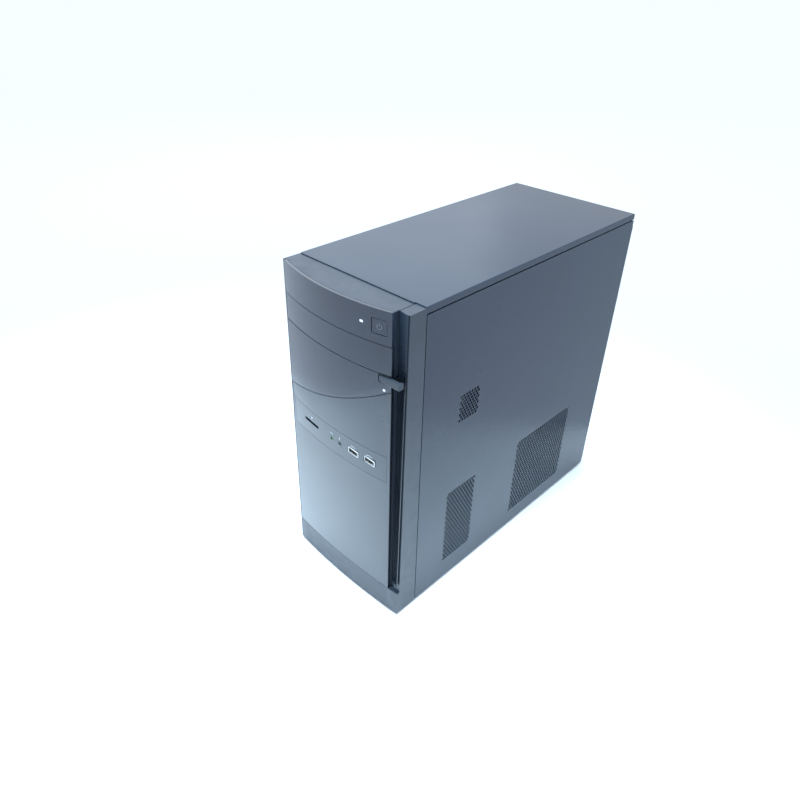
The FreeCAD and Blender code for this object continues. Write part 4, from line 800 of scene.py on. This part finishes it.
# profiles turned about the jack's axle: (depth behind the face, radius)
jackSetup = {"ring": [(0.1, 1.8), (-0.3, 2.1), (-0.3, 2.75), (0.0, 3.15), (13, 3.15), (13, 1.7), (0.1, 1.8)],
             "spring": [(0.6, 1.65), (0.6, 1.4), (12, 1.4), (12, 1.65), (0.6, 1.65)],
             "rings": ("jackGreen", "jackGrey")}


def makeFrontJacks():
    z = socketSetup["z"]
    for index, x in enumerate(socketSetup["jackX"]):
        middle = (x, frontY(x, z), z)
        bm = bmesh.new()
        addTurned(bm, "Y", middle, jackSetup["ring"], 32)
        finished(bm, f"front_jack_{index + 1}", "root",
                 materials[jackSetup["rings"][index]], ["audio_jacks"])
        bm = bmesh.new()
        addTurned(bm, "Y", middle, jackSetup["spring"], 28)
        finished(bm, f"front_jack_spring_{index + 1}", "root", materials["nickel"],
                 ["audio_jacks"])


markSetup = {"rise": 6.1, "proud": -0.03, "sunk": 0.3}


# plain marks over the sockets: a headphone arch, a microphone, and a forked line
def makeSocketMarks():
    z = socketSetup["z"] + markSetup["rise"]
    headphoneX, microphoneX = socketSetup["jackX"]
    outlines = [arcBand((headphoneX, z), 1.5, 1.15, 0, 180, 12),
                roundedBlock((headphoneX - 1.3, z - 0.35), 0.35, 0.55, 0.2, 3),
                roundedBlock((headphoneX + 1.3, z - 0.35), 0.35, 0.55, 0.2, 3),
                roundedBlock((microphoneX, z + 0.55), 0.5, 0.95, 0.45, 4),
                roundedBlock((microphoneX, z - 0.8), 0.15, 0.4, 0.1, 2),
                roundedBlock((microphoneX, z - 1.275), 0.8, 0.125, 0.1, 2)]
    for x in socketSetup["usbX"]:
        outlines += [roundedBlock((x, z), 2.6, 0.15, 0.1, 2),
                     circle((x - 2.8, z), 0.6, 12),
                     [(x + 2.4, z - 0.5), (x + 3.3, z), (x + 2.4, z + 0.5)],
                     [(x - 1.4, z + 0.12), (x - 0.6, z + 0.9), (x + 0.9, z + 0.9), (x + 0.9, z + 1.1),
                      (x - 0.7, z + 1.1), (x - 1.7, z + 0.12)],
                     [(x - 0.4, z - 0.12), (x + 0.4, z - 0.9), (x + 1.6, z - 0.9), (x + 1.6, z - 1.1),
                      (x + 0.3, z - 1.1), (x - 0.7, z - 0.12)]]
    bm = bmesh.new()
    for outline in outlines:
        addPlate(bm, outline, markSetup["proud"], markSetup["sunk"])
    bowed(bm)
    finished(bm, "socket_marks", "root", materials["print"], ["io_band"])


# three fields of holes, by their lowest and highest (Y, Z)
ventSetup = {"pitch": 4.2, "radius": 1.72, "sheet": 1.0, "seam": 0.6, "foldX": 70.5, "foldEnds": (7.8, 7.5),
             "fields": (((-105.9, 222.0), (-74.5, 254.6)), ((-115.4, 30.4), (-66.8, 132.6)),
                        ((10.6, 24.3), (122.2, 134.7)))}


# one hole in a rectangle of sheet; verts are shared through the points already placed
def addVent(bm, placed, x, centre, pitch, rise, radius):
    y, z = centre
    rim = [(-0.5, -0.5), (-0.25, -0.5), (0, -0.5), (0.25, -0.5), (0.5, -0.5), (0.5, 0),
           (0.5, 0.5), (0.25, 0.5), (0, 0.5), (-0.25, 0.5), (-0.5, 0.5), (-0.5, 0)]
    outer = []
    for across, up in rim:
        spot = (round(y + across * pitch, 4), round(z + up * rise, 4))
        if spot not in placed:
            placed[spot] = bm.verts.new((x, *spot))
        outer.append(placed[spot])
    inner = []
    for across, up in rim:
        angle = math.atan2(up * rise, across * pitch)
        inner.append(bm.verts.new((x, y + radius * math.cos(angle), z + radius * math.sin(angle))))
    for index in range(12):
        follow = (index + 1) % 12
        bm.faces.new((outer[index], outer[follow], inner[follow], inner[index]))
    return inner


def makeSidePanel():
    low, high = span("side_panel")
    pitch, radius = ventSetup["pitch"], ventSetup["radius"]
    bm = bmesh.new()
    outer = high.x
    placed, holes = {}, set()
    for (yLow, zLow), (yHigh, zHigh) in ventSetup["fields"]:
        columns = int((yHigh - yLow) / pitch)
        rows = round((zHigh - zLow) / (pitch * 0.87))
        rise = (zHigh - zLow) / rows
        for row in range(rows):
            for column in range(columns):
                centre = (yLow + pitch * (column + 0.5 + 0.5 * (row % 2)), zLow + rise * (row + 0.5))
                holes.update(addVent(bm, placed, outer, centre, pitch, rise, radius))
    rimEdges = [edge for edge in bm.edges if len(edge.link_faces) == 1 and not set(edge.verts) <= holes]
    rear = high.y - 1
    front, top = low.y + ventSetup["seam"], high.z - ventSetup["seam"]
    corners = [(front, low.z), (rear, low.z), (rear, top), (front, top)]
    border = [bm.verts.new((outer, y, z)) for y, z in corners]
    frameEdges = [bm.edges.new((border[index], border[(index + 1) % 4])) for index in range(4)]
    bmesh.ops.triangle_fill(bm, use_beauty=True, use_dissolve=False, edges=rimEdges + frameEdges)
    bmesh.ops.recalc_face_normals(bm, faces=bm.faces)
    if bm.faces[0].normal.x < 0:
        bmesh.ops.reverse_faces(bm, faces=bm.faces)
    bmesh.ops.solidify(bm, geom=bm.faces[:], thickness=ventSetup["sheet"])
    below, above = ventSetup["foldEnds"]
    addBox(bm, (ventSetup["foldX"], outer), (rear, high.y), (low.z + below, high.z - above))
    finished(bm, "side_panel_sheet", "side_panel", materials["paintedSteel"], ["side_panel"],
             angle=30)


# CAD pieces kept as they are, by finish
keptFinish = {
    "zinc": ["base_pan", "board_wall", "front_frame", "rear_panel", "slot_covers", "io_shield",
             "supply_guard"],
    "nickel": ["case_screws"],
    "brass": ["standoffs"],
    "circuitGreen": ["main_board", "front_io_board"],
    "circuitBrown": ["supply_circuit"],
    "sleeve": ["board_power_cable", "signal_cables"],
}

# CAD pieces copied with softened edges: finish, edge width in mm, nodes
softenedFinish = [
    ("paintedSteel", 0.3, ["left_panel"]),
    ("zinc", 0.25, ["drive_cage", "supply_base", "supply_cover", "drive_case"]),
    ("nickel", 0.2, ["metal_ports"]),
    ("darkPlastic", 0.3, ["drive_fascia", "disc_tray", "card_reader", "supply_fan_frame", "supply_fan_rotor",
                          "processor_fan_frame", "processor_fan_rotor", "rear_fan_frame", "rear_fan_rotor",
                          "spindle_hub", "supply_inlet"]),
    ("socket", 0.25, ["memory_sockets", "card_slots"]),
    ("headerPlastic", 0.25, ["board_headers"]),
    ("whitePlastic", 0.3, ["memory_latch_1", "memory_latch_2"]),
    ("portPlastic", 0.25, ["plastic_ports"]),
    ("redPlastic", 0.3, ["voltage_switch"]),
    ("circuitGreen", 0.1, ["memory_modules"]),
    ("component", 0.25, ["board_components"]),
    ("aluminium", 0.2, ["hard_disk", "processor_sink", "chipset_sink", "drive_mechanism", "laser_sled"]),
    ("rubber", 0.6, ["feet"]),
]


def dressKept():
    for material, names in keptFinish.items():
        for name in names:
            mesh = frame["nodes"][name].data
            mesh.materials.clear()
            mesh.materials.append(materials[material])


def makeSoftened():
    for material, edge, names in softenedFinish:
        for name in names:
            finished(copied(name), name + "_soft", bodyOf[name], materials[material], [name],
                     edge=edge, segments=2, angle=40)


thumbSetup = {"x": 77.0, "heights": (48.0, 262.0), "teeth": 22, "outer": 5.4, "groove": 0.35, "shank": 1.9,
              "knurl": (191.5, 195.4), "slot": (2.6, 0.45), "slotBottom": 194.0,
              "ring": [(-0.45, 4.6), (0.25, 4.3), (0.25, 3.0), (-0.45, 3.0), (-0.45, 4.6)]}


# captive thumbscrews: knurled head with a cross slot and a turned ring on its face
def makeThumbscrews():
    low, high = span("panel_thumbscrews")
    bm = bmesh.new()
    x, knurl = thumbSetup["x"], thumbSetup["knurl"]
    radius = min(thumbSetup["outer"], high.x - x)
    points = thumbSetup["teeth"] * 4
    ringFace = high.y - max(along for along, _ in thumbSetup["ring"])
    for z in thumbSetup["heights"]:
        outline = []
        for point in range(points):
            angle = 2 * math.pi * point / points
            reach = radius - thumbSetup["groove"] * (point % 4 in (2, 3))
            outline.append((x + reach * math.cos(angle), z + reach * math.sin(angle)))
        head, cutter = bmesh.new(), bmesh.new()
        addPlate(head, outline, *knurl)
        for halfX, halfZ in (thumbSetup["slot"], thumbSetup["slot"][::-1]):
            addBox(cutter, (x - halfX, x + halfX), (thumbSetup["slotBottom"], high.y + 1),
                   (z - halfZ, z + halfZ))
        joined(bm, carved(head, cutter))
        addRod(bm, "Y", (x, 0, z), thumbSetup["shank"], low.y, knurl[0] + 0.4)
        addTurned(bm, "Y", (x, ringFace, z), thumbSetup["ring"])
    finished(bm, "thumbscrews", "side_panel", materials["nickel"], ["panel_thumbscrews"],
             angle=30)


# blank labels on the power supply and the fan hubs
labelSetup = {"supplyInset": (22, 16), "thick": 0.15, "hubRadius": 12, "proud": 0.05, "sunk": 0.5}


def makeLabels():
    low, high = span("supply_base")
    bm = bmesh.new()
    insetY, insetZ = labelSetup["supplyInset"]
    addBox(bm, (high.x, high.x + labelSetup["thick"]), (low.y + insetY, high.y - insetY),
           (low.z + insetZ, high.z - insetZ))
    finished(bm, "supply_label", bodyOf["supply_base"], materials["label"], ["supply_base"])
    proud, sunk = labelSetup["proud"], labelSetup["sunk"]
    for rotor, axis in (("rear_fan_rotor", "Y"), ("processor_fan_rotor", "X"), ("supply_fan_rotor", "Y")):
        low, high = span(rotor)
        ends = (low.y - proud, low.y + sunk) if axis == "Y" else (high.x - sunk, high.x + proud)
        bm = bmesh.new()
        addRod(bm, axis, (low + high) / 2, labelSetup["hubRadius"], *ends, 40)
        finished(bm, rotor + "_label", bodyOf[rotor], materials["label"], [rotor])


# chips as (Y, Z, length, height) of each package; small parts scattered between them
chipSetup = {"seed": 7, "small": 340, "size": (1.2, 0.7, 0.5), "margin": 6, "chipThick": 1.1,
             "pinThick": 0.25, "pinHalf": 0.18, "pinReach": 0.9,
             "chips": ((30, 228, 14, 14), (112, 60, 9, 7), (-6, 118, 8, 6), (150, 200, 10, 10),
                       (60, 246, 6, 5), (96, 206, 6, 8))}


# packages and small parts soldered over the board
def makeBoardParts():
    low, high = span("main_board")
    chance = random.Random(chipSetup["seed"])
    margin, reach = chipSetup["margin"], chipSetup["pinReach"]
    chips, pins = bmesh.new(), bmesh.new()
    for y, z, long, tall in chipSetup["chips"]:
        bottom, top = z - tall / 2, z + tall / 2
        addBox(chips, (high.x, high.x + chipSetup["chipThick"]), (y - long / 2, y + long / 2), (bottom, top))
        for step in range(int(long)):
            middle = y - long / 2 + 0.5 + step
            wide = (middle - chipSetup["pinHalf"], middle + chipSetup["pinHalf"])
            addBox(pins, (high.x, high.x + chipSetup["pinThick"]), wide, (bottom - reach, top + reach))
    across, up, thick = chipSetup["size"]
    for index in range(chipSetup["small"]):
        y = chance.uniform(low.y + margin, high.y - margin)
        z = chance.uniform(low.z + margin, high.z - margin)
        long, tall = (up, across) if index % 2 else (across, up)
        addBox(pins if index % 3 else chips, (high.x, high.x + thick), (y - long / 2, y + long / 2),
               (z - tall / 2, z + tall / 2))
    finished(chips, "board_chips", "root", materials["component"], ["board_components"])
    finished(pins, "board_pins", "root", materials["nickel"], ["board_components"])


makeFrontPanels()
makePowerButton()
makeBezel()
makeChannel()
makeLid()
makeEjectLever()
makeLamps()
makeFrontUsb()
makeFrontJacks()
makeSocketMarks()
print("front made")
makeSidePanel()
print("side panel made")

makeSoftened()
makeThumbscrews()
makeLabels()
makeBoardParts()
dressKept()
print("inside and rear made")
